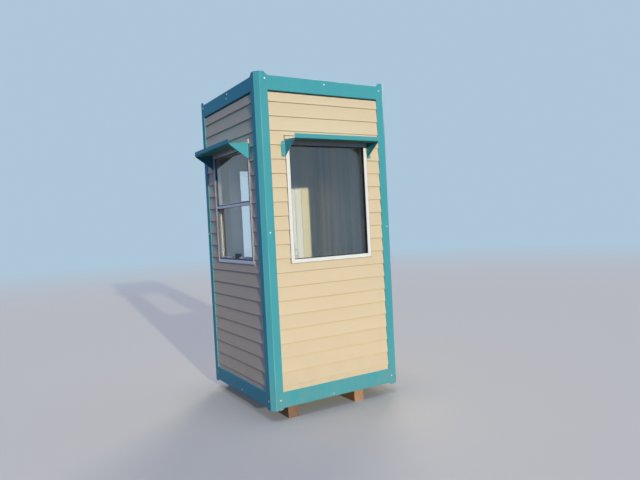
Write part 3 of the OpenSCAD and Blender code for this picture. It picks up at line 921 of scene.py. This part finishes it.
def sealant(side):
    """Bead of sealant between a window frame and the siding, below the trim."""
    window = WALLS[side].span(f"{side}_window_frame")
    x0, x1, z0, _ = inset(window.rect, -SEALANT_W)
    section = box_section(window.y0 + SEALANT_SET, SIDING_BACK)
    ring_piece(
        f"{side}_window_sealant", WALLS[side], SEALANT,
        ((x0, x1, z0, window.z1 - FIT), SEALANT_W - FIT, section, "lrb"), edge=0.001, slot="window_frame")


def front_window():
    wall = FRONT
    window = wall.span("front_window_frame")
    pane = wall.span("front_window_glass")
    ring_piece(
        "front_window_members", wall, PVC,
        (window.rect, WINDOW_FACE, rebated_section(window.y0, window.y1, pane.y0 - FIT)),
        edge=PVC_EDGE, replaces="front_window_frame", slot="window_frame")
    double_pane("front_window_panes", wall, pane.rect, pane.y0, pane.y1, "front_window_glass")
    ring_piece(
        "front_window_seal", wall, RUBBER,
        (inset(window.rect, WINDOW_FACE), REVEAL_W, lip_section(window.y0 + SEAL_SET, pane.y0)),
        edge=0.0005, slot="window_frame")
    ring_piece(
        "front_window_beads", wall, PVC,
        (inset(pane.rect, FIT), window.x0 + WINDOW_FACE - pane.x0,
         bead_section(pane.y1 + FIT, window.y1 - BEAD_SET)),
        edge=0.0008, slot="window_frame")
    sealant("front")


# The left window, with the depths of its panes behind the steel face
SASH_FACE = 0.022
RAIL_H = 0.025
RAIL_DEPTH = 0.024
RAIL_SET = 0.0012
RAIL_TOP_SET = 0.0072
RAIL_SEAL = 0.004
UPPER_PANE = (0.012, 0.018)
SASH_PANE = (0.033, 0.039)
GASKET = 0.004
GASKET_T = 0.003
SASH_SEAL = 0.0015
UPPER_SEAL = 0.003
UPPER_BEAD = 0.011
UPPER_BEAD_ROOM = 0.0238
LINER_T = 0.0025
TRACK_LIP = 0.011
INNER_TRACK = 0.006
TRACK_GAP = 0.002
OUTER_SLOPE = (0.006, 0.002)
INNER_SLOPE = (0.010, 0.0045)
LATCH_PLATE = (0.040, 0.016, 0.004)
LATCH_LEVER = (0.030, 0.028, 0.006)
LATCH_DROP = 0.003
LATCH_FOOT = 0.004
LATCH_ROUNDINGS = (0.004, 0.007)


def sloped_section(y0, y1):
    """A section whose face slopes back at its outer and its inner edge."""
    return lambda face: [
        (0, y0 + OUTER_SLOPE[1]), (OUTER_SLOPE[0], y0), (face - INNER_SLOPE[0], y0),
        (face, y0 + INNER_SLOPE[1]), (face, y1), (0, y1)]


def sash_latch(wall, x, y, rail_z):
    """Plate on the outer face of the sash's bottom rail, and a lever that stands above the rail."""
    shape = Shape()
    half, tall, thick = LATCH_PLATE
    low = rail_z - tall - LATCH_DROP
    plate = rounded_plate(x - half, x + half, low, low + tall, LATCH_ROUNDINGS[0])
    shape.along_y(plate, y - FIT, y - thick)
    half, tall, lever = LATCH_LEVER
    outline = rounded_plate(x - half, x + half, low + LATCH_FOOT, rail_z + tall, LATCH_ROUNDINGS[1])
    shape.along_y(outline, y - thick, y - thick - lever)
    piece("left_window_latch", shape, LATCH_PLASTIC, wall, edge=0.0012, slot="window_frame")


def left_window():
    wall = LEFT
    window = wall.span("left_window_frame")
    sash = wall.span("left_window_sash")
    out = window.y0
    hx0, hx1, hz0, hz1 = inset(inset(window.rect, WINDOW_FACE), FIT)
    rail_z0, rail_z1 = sash.z1 - RAIL_H, sash.z1
    seal_z0 = rail_z1 - RAIL_SEAL
    pane = (hx0, hx1, rail_z1 + FIT, hz1)
    track = (hx0, hx1, hz0, rail_z0 - FIT)
    sash_hole = inset(sash.rect, SASH_FACE)

    members = Shape()
    members.ring(window.rect, WINDOW_FACE, sloped_section(out, window.y1))
    members.plate((hx0, hx1, rail_z0, seal_z0), out + RAIL_SET, out + RAIL_DEPTH)
    members.plate((hx0, hx1, seal_z0 + FIT, rail_z1), out + RAIL_TOP_SET, out + RAIL_DEPTH)
    piece(
        "left_window_members", members, PVC, wall, edge=PVC_EDGE, replaces="left_window_frame",
        slot="window_frame")
    panes = Shape()
    panes.plate((pane[0] + FIT, pane[1] - FIT, pane[2] + FIT, pane[3]), *UPPER_PANE)
    panes.plate(inset(sash_hole, FIT), *SASH_PANE)
    piece("left_window_panes", panes, GLASS, wall, segments=1, replaces="left_window_glass", slot="glass")
    ring_piece(
        "left_window_seals", wall, RUBBER,
        (pane, GASKET, box_section(UPPER_PANE[1] + FIT / 2, UPPER_PANE[1] + GASKET_T)),
        (sash_hole, SASH_SEAL, box_section(SASH_PANE[0] - SASH_SEAL, SASH_PANE[0] - FIT / 2)),
        (sash_hole, GASKET, box_section(SASH_PANE[1] + FIT / 2, SASH_PANE[1] + GASKET_T)),
        edge=0.0005, slot="window_frame")
    outer_seals = Shape()
    outer_seals.ring(pane, UPPER_SEAL, lip_section(out + SEAL_SET, UPPER_PANE[0], UPPER_SEAL - 0.001))
    outer_seals.plate((hx0, hx1, seal_z0 + FIT, rail_z1), out + 0.003, out + RAIL_TOP_SET - FIT)
    piece("left_window_outer_seals", outer_seals, GREY_SEAL, wall, slot="window_frame")
    ring_piece(
        "left_window_beads", wall, PVC,
        (pane, UPPER_BEAD, bead_section(UPPER_PANE[1] + GASKET_T + BEAD_GAP, UPPER_BEAD_ROOM)),
        edge=0.0007, slot="window_frame")
    ring_piece(
        "left_window_sash_members", wall, PVC, (sash.rect, SASH_FACE, box_section(sash.y0, sash.y1)),
        edge=0.0012, replaces="left_window_sash", slot="window_frame")
    outer_track = box_section(out + SEAL_SET, sash.y0 - TRACK_GAP)
    inner_track = box_section(sash.y1 + TRACK_GAP, sash.y1 + INNER_TRACK)
    ring_piece(
        "left_window_tracks", wall, LINER, (track, (LINER_T, LINER_T, TRACK_LIP, 0.0), outer_track, "lrb"),
        (track, INNER_TRACK, inner_track, "lrb"), edge=0.0005, slot="window_frame")
    sealant("left")
    sash_latch(wall, (sash.x0 + sash.x1) / 2, sash.y0, sash_hole[2])


# Canopies
CANOPY_T = 0.002
CANOPY_BEND = 0.0035
CANOPY_FALL = 0.012
CANOPY_LIP = 0.032
BRACKET_BEND = 0.004
BRACKET_FLANGE = 0.034
BRACKET_CORNER = 0.010
BRACKET_TIP = 0.006
CUT_OVER = 0.001
CUTTER_REACH = 1.0
BRACKET_SCREW_X = 0.014
BRACKET_SCREW_LOW = 0.022
BRACKET_SCREW_TOP = 0.02
BRACKET_SCREW_SIZE = 0.8


def canopy(side):
    """Folded sheet that falls towards its lip."""
    node = f"{side}_canopy"
    x0, x1, y0, y1, _, z1 = WALLS[side].span(node)
    low = z1 - CANOPY_LIP - CANOPY_T
    line = [(y1, low + CANOPY_FALL), (y0, low), (y0, z1)]
    folded_piece(node + "_sheet", node, WALLS[side], line, CANOPY_BEND, CANOPY_T, x0, x1, "canopy_metal")


def bracket(span, sheet, window_top, end_x):
    """Web under one end of a canopy, folded outwards to a flange on the wall, and the shapes that trim both.
    end_x is 1 for the right end."""
    _, _, y0, y1, z0, z1 = span
    mid = (sheet.x0 + sheet.x1) / 2
    plate = (sheet.x1 - sheet.x0) / 2 - CANOPY_T
    web_x = plate + CANOPY_T
    end = plate + BRACKET_FLANGE
    line = [(web_x, y0), (web_x, y1 - CANOPY_T), (end, y1 - CANOPY_T)]
    outer = rounded_line(line, BRACKET_BEND - CANOPY_T)
    inner = rounded_line(moved_line(line, CANOPY_T), BRACKET_BEND)
    shape = Shape()
    shape.sheet(
        outer, inner,
        lambda p: (mid + end_x * p[0], p[1], z0), lambda p: (mid + end_x * p[0], p[1], z1))
    tip = z1 - CANOPY_FALL
    web = Shape()
    web.along_x([
        (y1 + CUT_OVER, window_top), (sheet.y1, window_top), (sheet.y1, z1), (y0, tip),
        (y0, tip - BRACKET_TIP), (y1 - CANOPY_T, z0), (y1 + CUT_OVER, z0)],
        mid - CUTTER_REACH, mid + CUTTER_REACH)
    fold = web_x + BRACKET_BEND
    corners = [
        (0, z0 - CUT_OVER), (end, z0 - CUT_OVER), (end, window_top - BRACKET_CORNER),
        (end - BRACKET_CORNER, window_top), (fold, window_top), (fold, z1 + CUT_OVER), (0, z1 + CUT_OVER)]
    flange = Shape()
    flange.along_y([(mid + end_x * x, z) for x, z in corners], -CUTTER_REACH, CUTTER_REACH)
    return shape, [web, flange]


def brackets(side):
    wall = WALLS[side]
    node = f"{side}_canopy_brackets"
    span = wall.span(node)
    window_top = wall.span(f"{side}_window_frame").z1
    for end_x, label in ((1, "right"), (-1, "left")):
        shape, keeps = bracket(span, wall.span(f"{side}_canopy"), window_top, end_x)
        piece(
            f"{node}_{label}", shape, TEAL, wall, segments=1, replaces=node, slot="canopy_metal", keeps=keeps)
    rng = random.Random(node)
    heads = Shape()
    for x in (span.x0 + BRACKET_SCREW_X, span.x1 - BRACKET_SCREW_X):
        for z in (span.z0 + BRACKET_SCREW_LOW, window_top - BRACKET_SCREW_TOP):
            screw_head(heads, head_place(x, span.y1 - CANOPY_T, z, rng), BRACKET_SCREW_SIZE)
    piece(f"{node}_screws", heads, SCREW_ZINC, wall, edge=0.0002, slot="canopy_metal")


def all_canopies():
    for make in (canopy, brackets):
        for side in ("front", "left"):
            make(side)


# Timber
TIMBER_ROUNDING = 0.007
TIMBER_STEPS = 60
UNDERSIDE = 0.001
WEAR_LEAST = 0.0004
WEAR_COARSE = 0.0022
WEAR_FINE = 0.0007
CRACKS = 7
CRACK_DEPTH = 0.004


def bearer(name, material, seed):
    """Weathered timber with rounded, uneven edges and a few long cracks."""
    low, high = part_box(name)
    rng = random.Random(seed)
    half = (high.x - low.x) / 2
    middle = (low + high) / 2
    corners = rounded_plate(-half, half, -half, half, TIMBER_ROUNDING, 3)
    outline = []
    for i in range(0, len(corners), 4):
        arc = corners[i:i + 4]
        start, stop = Vector(arc[-1]), Vector(corners[(i + 4) % len(corners)])
        outline += arc + [tuple(start.lerp(stop, k / 9)) for k in range(1, 9)]
    cracks = [
        (rng.randrange(len(outline)), rng.uniform(0.0, 0.7), rng.uniform(0.15, 0.4)) for _ in range(CRACKS)]
    rings = []
    for r in range(TIMBER_STEPS + 1):
        share = r / TIMBER_STEPS
        y = low.y + (high.y - low.y) * share
        ring = []
        for i, (x, z) in enumerate(outline):
            spot = Vector((x * 22, y * 3.5, z * 22 + seed))
            coarse, fine = abs(noise.noise(spot)), abs(noise.noise(spot * 5))
            inwards = WEAR_LEAST + WEAR_COARSE * coarse + WEAR_FINE * fine
            for index, begin, length in cracks:
                if index == i and begin < share < begin + length:
                    inwards += CRACK_DEPTH * math.sin(math.pi * (share - begin) / length)
            scale = 1 - inwards / math.hypot(x, z)
            underside = z < -half + UNDERSIDE
            ring.append((middle.x + x * scale, y, middle.z + (z if underside else z * scale)))
        rings.append(ring)
    shape = Shape()
    shape.loft(rings)
    piece(name + "_baulk", shape, material, edge=0, replaces=name, slot="timber")


def bearers():
    def pith(name, shift, height):
        low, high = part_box(name)
        return ((low.x + high.x) / 2 + shift, height)

    left, right = "timber_bearer_left", "timber_bearer_right"
    greyed = sawn_timber(
        "greyed_timber", srgb(156, 122, 100), srgb(104, 76, 60), pith(left, 0.01, 0.02), 0.0045, 0.8)
    tan = sawn_timber(
        "tan_timber", srgb(205, 160, 122), srgb(156, 110, 78), pith(right, -0.02, 0.07), 0.0055, 0.8)
    bearer(left, greyed, 3)
    bearer(right, tan, 8)


# Room
WALL_CORES = (
    "front_wall", "left_wall", "right_wall", "back_wall_left", "back_wall_right", "back_wall_over_door")


def boards(x0, x1, middle, back, face):
    """Outlines of the boards that fill a width, with bevels along their edges on the face's side."""
    count = math.ceil((x1 - x0) / BOARD_W)
    start = middle - count * BOARD_W / 2
    edge = face - math.copysign(BOARD_BEVEL, face - back)
    for i in range(count):
        a = max(x0, start + i * BOARD_W + BOARD_GAP / 2)
        b = min(x1, start + (i + 1) * BOARD_W - BOARD_GAP / 2)
        yield [(a, back), (b, back), (b, edge), (b - BOARD_BEVEL, face), (a + BOARD_BEVEL, face), (a, edge)]


def room_lining():
    low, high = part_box("inner_lining")
    depth = low.x - LEFT_X
    wide = (high.x - low.x) / 2
    between = (high.y - low.y) / 2 - LINING_T - FIT
    # The back wall gets the cream board, the other walls its darker painted-shade copy.
    sides = (
        ("front", wide, LINING, [hole("front", "front_window_frame")]),
        ("back", wide, CREAM_LINING, [hole("back", "door_frame", below=0.05)]),
        ("left", between, LINING, [hole("left", "left_window_frame")]),
        ("right", between, LINING, []),
    )
    for side, half, material, cuts in sides:
        shape = Shape()
        for outline in boards(-half, half, 0.0, depth, depth + LINING_T):
            shape.along_z(outline, low.z, high.z)
        piece(
            f"{side}_lining_boards", shape, material, WALLS[side], edge=0.0003, segments=1,
            replaces="inner_lining", slot="inner_panel", cuts=cuts)


def ceiling():
    low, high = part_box("ceiling_panel")
    shape = Shape()
    for outline in boards(low.x, high.x, MID_X, high.z, low.z):
        shape.along_y(outline, low.y, high.y)
    piece(
        "ceiling_boards", shape, CEILING, edge=0.0003, segments=1, replaces="ceiling_panel",
        slot="inner_panel")


def floor_and_core():
    dressed_node("floor_deck", FLOOR_SHEET, 0.001)
    dressed_node("floor_joists", JOIST_WOOD, 0.002)
    for part in WALL_CORES:
        dressed_node(part, FOAM, 0.0004, 1)


# Roof
ROOF_T = 0.058
RIBS = range(-2, 3)
RIB_PITCH = 0.185
RIB_TOP = 0.024
RIB_FOOT = 0.060
SWAGE_PLACES = (-0.066, -0.119)
SWAGE_TOP = 0.012
SWAGE_FOOT = 0.018
SWAGE_H = 0.0022
SCREW_INSET = 0.11


def roof():
    low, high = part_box("roof_panel")
    flat_z = low.z + ROOF_T
    outline = [(low.x, low.z), (high.x, low.z), (high.x, flat_z)]

    def add_rib(x, foot, top, z):
        outline.extend([(x + foot / 2, flat_z), (x + top / 2, z), (x - top / 2, z), (x - foot / 2, flat_z)])

    for i in reversed(RIBS):
        x = MID_X + i * RIB_PITCH
        add_rib(x, RIB_FOOT, RIB_TOP, high.z)
        if i > RIBS[0]:
            for shift in SWAGE_PLACES:
                add_rib(x + shift, SWAGE_FOOT, SWAGE_TOP, flat_z + SWAGE_H)
    outline.append((low.x, flat_z))
    shape = Shape()
    shape.along_y(outline, low.y, high.y)
    piece("roof_sheet", shape, ROOF_ZINC, edge=0.0012, replaces="roof_panel", slot="roof_metal")
    heads = Shape()
    rng = random.Random("roof")
    for i in RIBS:
        for y in (FRONT_Y + SCREW_INSET, MID_Y, BACK_Y - SCREW_INSET):
            turned = Matrix.Rotation(rng.uniform(0, math.pi / 3), 4, "Z")
            screw_head(heads, Matrix.Translation((MID_X + i * RIB_PITCH, y, high.z)) @ turned)
    piece("roof_screws", heads, SCREW_ZINC, edge=0.0002, slot="roof_metal")


# Door
DOOR_FACE = 0.045
SILL_H = 0.030
STOP_W = 0.020
STOP_GAP = 0.005
DOOR_SEAL = 0.012
SEAL_FOOT = 0.006
SEAL_FOOT_T = 0.0038
SEAL_LIP_T = 0.003
SILL_FLAT = 0.012
SILL_NOSE = 0.004
SILL_FALL = 0.002
SILL_NOSE_FALL = 0.008
STILE = 0.055
FOOT_RAIL = 0.075
MID_RAIL = 0.080
LEAF_OUTER_SEAL = 0.0055
LEAF_INNER_SEAL = 0.0175
LEAF_BEAD = 0.015
LEAF_BEAD_SET = 0.0006
LEAF_SEAL_T = 0.0025


def door_frame():
    wall = BACK
    opening = wall.span("door_frame")
    x0, x1, y0, y1, z0, z1 = opening
    stop_y = wall.span("door_leaf").y1 + STOP_GAP

    def stopped(face):
        stop = face + STOP_W
        return [(0, y0), (face, y0), (face, stop_y), (stop, stop_y), (stop, y1), (0, y1)]

    def seal(face):
        seat = stop_y - FIT / 2
        return [
            (SEAL_FOOT, stop_y - SEAL_FOOT_T), (face, stop_y - SEAL_LIP_T), (face, seat), (SEAL_FOOT, seat)]

    ring_piece(
        "door_frame_members", wall, PVC, (opening.rect, DOOR_FACE, stopped, "lrt"),
        edge=0.0014, replaces="door_frame", slot="door_pvc")
    sill_z = z0 + SILL_H
    sill = Shape()
    sill.along_x([
        (y0, z0), (y1, z0), (y1, sill_z), (stop_y + SILL_FLAT, sill_z),
        (y0 + SILL_NOSE, sill_z - SILL_FALL), (y0, sill_z - SILL_NOSE_FALL)],
        x0 + DOOR_FACE + FIT, x1 - DOOR_FACE - FIT)
    piece("door_sill", sill, SPACER, wall, edge=0.0008, slot="door_pvc")
    ring_piece(
        "door_frame_seal", wall, RUBBER,
        ((x0 + DOOR_FACE, x1 - DOOR_FACE, sill_z, z1 - DOOR_FACE), DOOR_SEAL, seal, "lrt"),
        edge=0.0003, slot="door_pvc")


def door_leaf():
    wall = BACK
    leaf = wall.span("door_leaf")
    x0, x1, y0, y1, z0, z1 = leaf
    glass_span = wall.span("door_glass")
    panel_span = wall.span("door_panel")
    light_z0 = glass_span.z0 + REBATE - FIT
    rail_z0 = light_z0 - MID_RAIL
    light = (x0 + STILE, x1 - STILE, light_z0, z1 - STILE)
    field = (x0 + STILE, x1 - STILE, z0 + FOOT_RAIL, rail_z0)

    members = Shape()
    members.ring(leaf.rect, (STILE, STILE, FOOT_RAIL, STILE), box_section(y0, y1))
    members.plate((light[0] + MITRE_GAP, light[1] - MITRE_GAP, rail_z0, light_z0), y0, y1)
    piece(
        "door_leaf_members", members, PVC, wall, edge=0.0014, replaces="door_leaf", slot="door_pvc",
        body="door")
    double_pane("door_panes", wall, inset(light, FIT), glass_span.y0, glass_span.y1, "door_glass", "door")
    panel = Shape()
    panel.plate(inset(field, FIT), panel_span.y0, panel_span.y1)
    piece("door_field", panel, PVC, wall, edge=0.001, replaces="door_panel", slot="door_pvc", body="door")

    seals = []
    beads = []
    for rect, span in ((light, glass_span), (field, panel_span)):
        seals.append((rect, LEAF_OUTER_SEAL, box_section(span.y0 - GASKET, span.y0 - FIT / 2)))
        seals.append((rect, LEAF_INNER_SEAL, box_section(span.y1 + FIT / 2, span.y1 + LEAF_SEAL_T)))
        beads.append((rect, LEAF_BEAD, bead_section(span.y1 + LEAF_SEAL_T + BEAD_GAP, y1 - LEAF_BEAD_SET)))
    ring_piece("door_seals", wall, RUBBER, *seals, slot="door_pvc", body="door")
    ring_piece("door_beads", wall, PVC, *beads, edge=0.0007, slot="door_pvc", body="door")


LEVER_R = 0.008
LEVER_BEND = 0.013
LEVER_LENGTH = 0.110
LEVER_DROP = 0.060
LEVER_RADII = [0.0095, 0.0082] + [0.008] * 8 + [0.0079, 0.0077, 0.0074, 0.0071, 0.0052, 0.0025]
PLATE_T = 0.008
PLATE_HALF = 0.014
PLATE_ROUNDING = 0.0075
CROWN_INSET = 0.002
CROWN_ROUNDING = 0.006
CROWN_H = 0.0025
SUNK = 0.001
LEVER_TIP = 0.001
LEVER_SLANT = 0.002
LEVER_STEPS = 20
COLLAR_STEPS = 28
LOCK_DROP = 0.072
LOCK_TAIL = (0.0235, 0.004)
LOCK_TAIL_HALF = 0.0046
LOCK_TAIL_H = 0.0024


def handle_side(levers, locks, plate, face, reach, lever_z):
    """Plate, lever and lock on one side of the leaf. face is the depth of the leaf's surface, and reach that
    of the lever's far side."""
    out = -1 if reach < face else 1
    far = face + out * PLATE_T
    rim = rounded_plate(*plate, PLATE_ROUNDING)
    crown = rounded_plate(*inset(plate, CROWN_INSET), CROWN_ROUNDING)
    depths = ((rim, face + out * FIT), (rim, far - out * CROWN_H), (crown, far))
    levers.loft([[(x, y, z) for x, z in outline] for outline, y in depths])
    mid = (plate[0] + plate[1]) / 2
    axis = reach - out * LEVER_R
    end_y = axis + out * LEVER_SLANT
    path = [(mid, far - out * SUNK, lever_z), (mid, axis - out * LEVER_BEND, lever_z)]
    for i in range(1, 9):
        angle = math.radians(90 * i / 8)
        y = axis - out * LEVER_BEND * (1 - math.sin(angle))
        path.append((mid + LEVER_BEND * (1 - math.cos(angle)), y, lever_z))
    for share in (0.3, 0.55, 0.8, 0.95):
        along = mid + LEVER_BEND + (LEVER_LENGTH - LEVER_BEND) * share
        path.append((along, axis + out * LEVER_SLANT * share, lever_z))
    path += [(mid + LEVER_LENGTH - LEVER_TIP, end_y, lever_z), (mid + LEVER_LENGTH, end_y, lever_z)]
    levers.tube(path, LEVER_RADII, LEVER_STEPS)
    outwards = Matrix.Rotation(math.radians(-90 * out), 4, "X")
    collar = Matrix.Translation((mid, far, lever_z)) @ outwards
    levers.turned(
        [(0.0125, -SUNK), (0.0125, 0.002), (0.0105, 0.0045), (0.006, 0.0046)], collar, COLLAR_STEPS)
    lock_z = lever_z - LOCK_DROP
    lock = Matrix.Translation((mid, far, lock_z)) @ outwards
    locks.turned(
        [(0.0086, -SUNK), (0.0086, 0.0022), (0.0078, 0.0028), (0.001, 0.0028)], lock, COLLAR_STEPS)
    tail = sorted((far - out * SUNK, far + out * LOCK_TAIL_H))
    low, high = (lock_z - drop for drop in LOCK_TAIL)
    locks.block(mid - LOCK_TAIL_HALF, mid + LOCK_TAIL_HALF, *tail, low, high)


def door_handles():
    wall = BACK
    handle = wall.span("door_handles")
    leaf = wall.span("door_leaf")
    mid = leaf.x0 + STILE / 2
    plate = (mid - PLATE_HALF, mid + PLATE_HALF, handle.z0, handle.z1)
    levers, locks = Shape(), Shape()
    for face, reach in ((leaf.y0, handle.y0), (leaf.y1, handle.y1)):
        handle_side(levers, locks, plate, face, reach, handle.z1 - LEVER_DROP)
    piece(
        "door_lever_sets", levers, PVC, wall, edge=0.0, replaces="door_handles", slot="door_fittings",
        body="door")
    piece("door_lock_cylinders", locks, SCREW_ZINC, wall, slot="door_fittings", body="door")


def door():
    door_frame()
    door_leaf()
    door_handles()
    dressed_node("door_hinges", PVC)
    dressed_node("door_hinge_leaves", PVC)


# Surroundings
PALE = (0.42, 0.57, 0.70, 1.0)
PALE_AHEAD = (0.50, 0.72, 0.90, 1.0)
FILL = (0.07, 0.162, 0.49, 1.0)
BOUNCE_NEAR = (0.22, 0.155, 0.08, 1.0)
BOUNCE_FAR = (0.065, 0.065, 0.07, 1.0)
BOUNCE_FADE = (1.0, 5.0)
FLOOR_COLOUR = (0.55, 0.52, 0.45, 1.0)
FLOOR_GLOW = (0.06, 0.062, 0.06, 1.0)
FLOOR_REACH = 60.0
FLOOR_FADE = (6.0, 26.0)


def faded(nodes, value, limits, a, b):
    """A colour that goes softly from a to b between two limits of a value."""
    return nodes.blend(value.to(0.0, 1.0, *limits, "SMOOTHSTEP"), a, b)


def backdrop_colour(nodes, ahead):
    """Pale, and paler towards the front, where ahead is how far a direction points there."""
    return faded(nodes, ahead, (0.2, 0.9), PALE, PALE_AHEAD)


def end_surroundings(nodes, output, matt, seen):
    """Looks one way to a viewer, a mirror or a pane, and lights what is matt another way."""
    camera_ray, glossy, passed, depth = (
        nodes.made("ShaderNodeLightPath", name)
        for name in ("Is Camera Ray", "Is Glossy Ray", "Is Transmission Ray", "Diffuse Depth"))
    largest = nodes.math("MAXIMUM", nodes.math("MAXIMUM", camera_ray, glossy), passed)
    share = largest * nodes.math("LESS_THAN", depth, 0.5)
    nodes.put(nodes.tree.nodes.new(output).inputs["Surface"], nodes.mixed(share, matt, seen))


def studio_world():
    world = bpy.data.worlds.new("studio")
    bpy.context.scene.world = world
    nodes = Nodes(world)
    ahead = nodes.parts(nodes.made("ShaderNodeTexCoord", "Generated"))[1] * -1.0
    fill = nodes.coloured("ShaderNodeBackground", FILL)
    seen = nodes.coloured("ShaderNodeBackground", backdrop_colour(nodes, ahead))
    end_surroundings(nodes, "ShaderNodeOutputWorld", fill, seen)


def studio_floor():
    """A pale floor that takes shadows and turns into the backdrop far away."""
    mesh = bpy.data.meshes.new("floor")
    reach = FLOOR_REACH
    corners = [(-reach, -reach, 0), (reach, -reach, 0), (reach, reach, 0), (-reach, reach, 0)]
    mesh.from_pydata(corners, [], [(0, 1, 2, 3)])
    material = bpy.data.materials.new("floor")
    nodes = Nodes(material)
    place = nodes.made("ShaderNodeTexCoord", "Object")
    distance = nodes.made("ShaderNodeVectorMath", "Value", {0: place}, operation="LENGTH")
    ahead = nodes.parts(place)[1] / distance * -1.0
    near = nodes.made("ShaderNodeAddShader", 0, {
        0: nodes.coloured("ShaderNodeBsdfDiffuse", FLOOR_COLOUR),
        1: nodes.coloured("ShaderNodeEmission", FLOOR_GLOW)})
    far = nodes.coloured("ShaderNodeEmission", backdrop_colour(nodes, ahead))
    seen = nodes.mixed(distance.to(0.0, 1.0, *FLOOR_FADE, "SMOOTHSTEP"), near, far)
    bounce = faded(nodes, distance, BOUNCE_FADE, BOUNCE_NEAR, BOUNCE_FAR)
    matt = nodes.coloured("ShaderNodeBsdfDiffuse", bounce)
    end_surroundings(nodes, "ShaderNodeOutputMaterial", matt, seen)
    mesh.materials.append(material)
    placed("floor", mesh)


def sun(name, travel, strength, colour, angle):
    """A far lamp whose light travels in a direction."""
    lamp = bpy.data.lights.new(name, "SUN")
    lamp.energy = strength
    lamp.color = colour
    lamp.angle = math.radians(angle)
    obj = placed(name, lamp)
    obj.rotation_mode = "QUATERNION"
    obj.rotation_quaternion = Vector(travel).to_track_quat("-Z", "Y")


SUN_ELEVATION = 11.8
SUN_TRAVEL = (0.112, 0.9937)


def lights():
    drop = math.tan(math.radians(SUN_ELEVATION))
    sun("key", (*SUN_TRAVEL, -drop), 2.7, (1.0, 0.94, 0.72), 1.2)
    sun("rim", (-0.62, -0.7, -0.34), 2.0, (1.0, 0.95, 0.85), 25.0)
    sun("top", (0.02, 0.03, -1.0), 0.9, (1.0, 0.97, 0.9), 25.0)


# Camera, at the photograph's place
CAMERA_PLACE = (-2.29525, -4.27207, 1.46238)
CAMERA_HEADING = 31.243
CAMERA_PITCH = -1.619
CAMERA_ROLL = -2.886
CAMERA_LENS = 31.28


def camera():
    data = bpy.data.cameras.new("camera")
    data.lens = CAMERA_LENS
    data.sensor_width = 36.0
    obj = placed("camera", data)
    heading = Matrix.Rotation(math.radians(-CAMERA_HEADING), 4, "Z")
    level = Matrix.Rotation(math.radians(90 + CAMERA_PITCH), 4, "X")
    roll = Matrix.Rotation(math.radians(CAMERA_ROLL), 4, "Z")
    obj.matrix_world = Matrix.Translation(CAMERA_PLACE) @ heading @ level @ roll
    bpy.context.scene.camera = obj


camera()
studio_world()
studio_floor()
lights()
steel_frame()
all_siding()
front_window()
left_window()
dressed_node("window_head_trims", VINYL, 0.0012, 3)
all_canopies()
bearers()
room_lining()
ceiling()
floor_and_core()
roof()
door()

bpy.context.scene.view_settings.view_transform = "Standard"
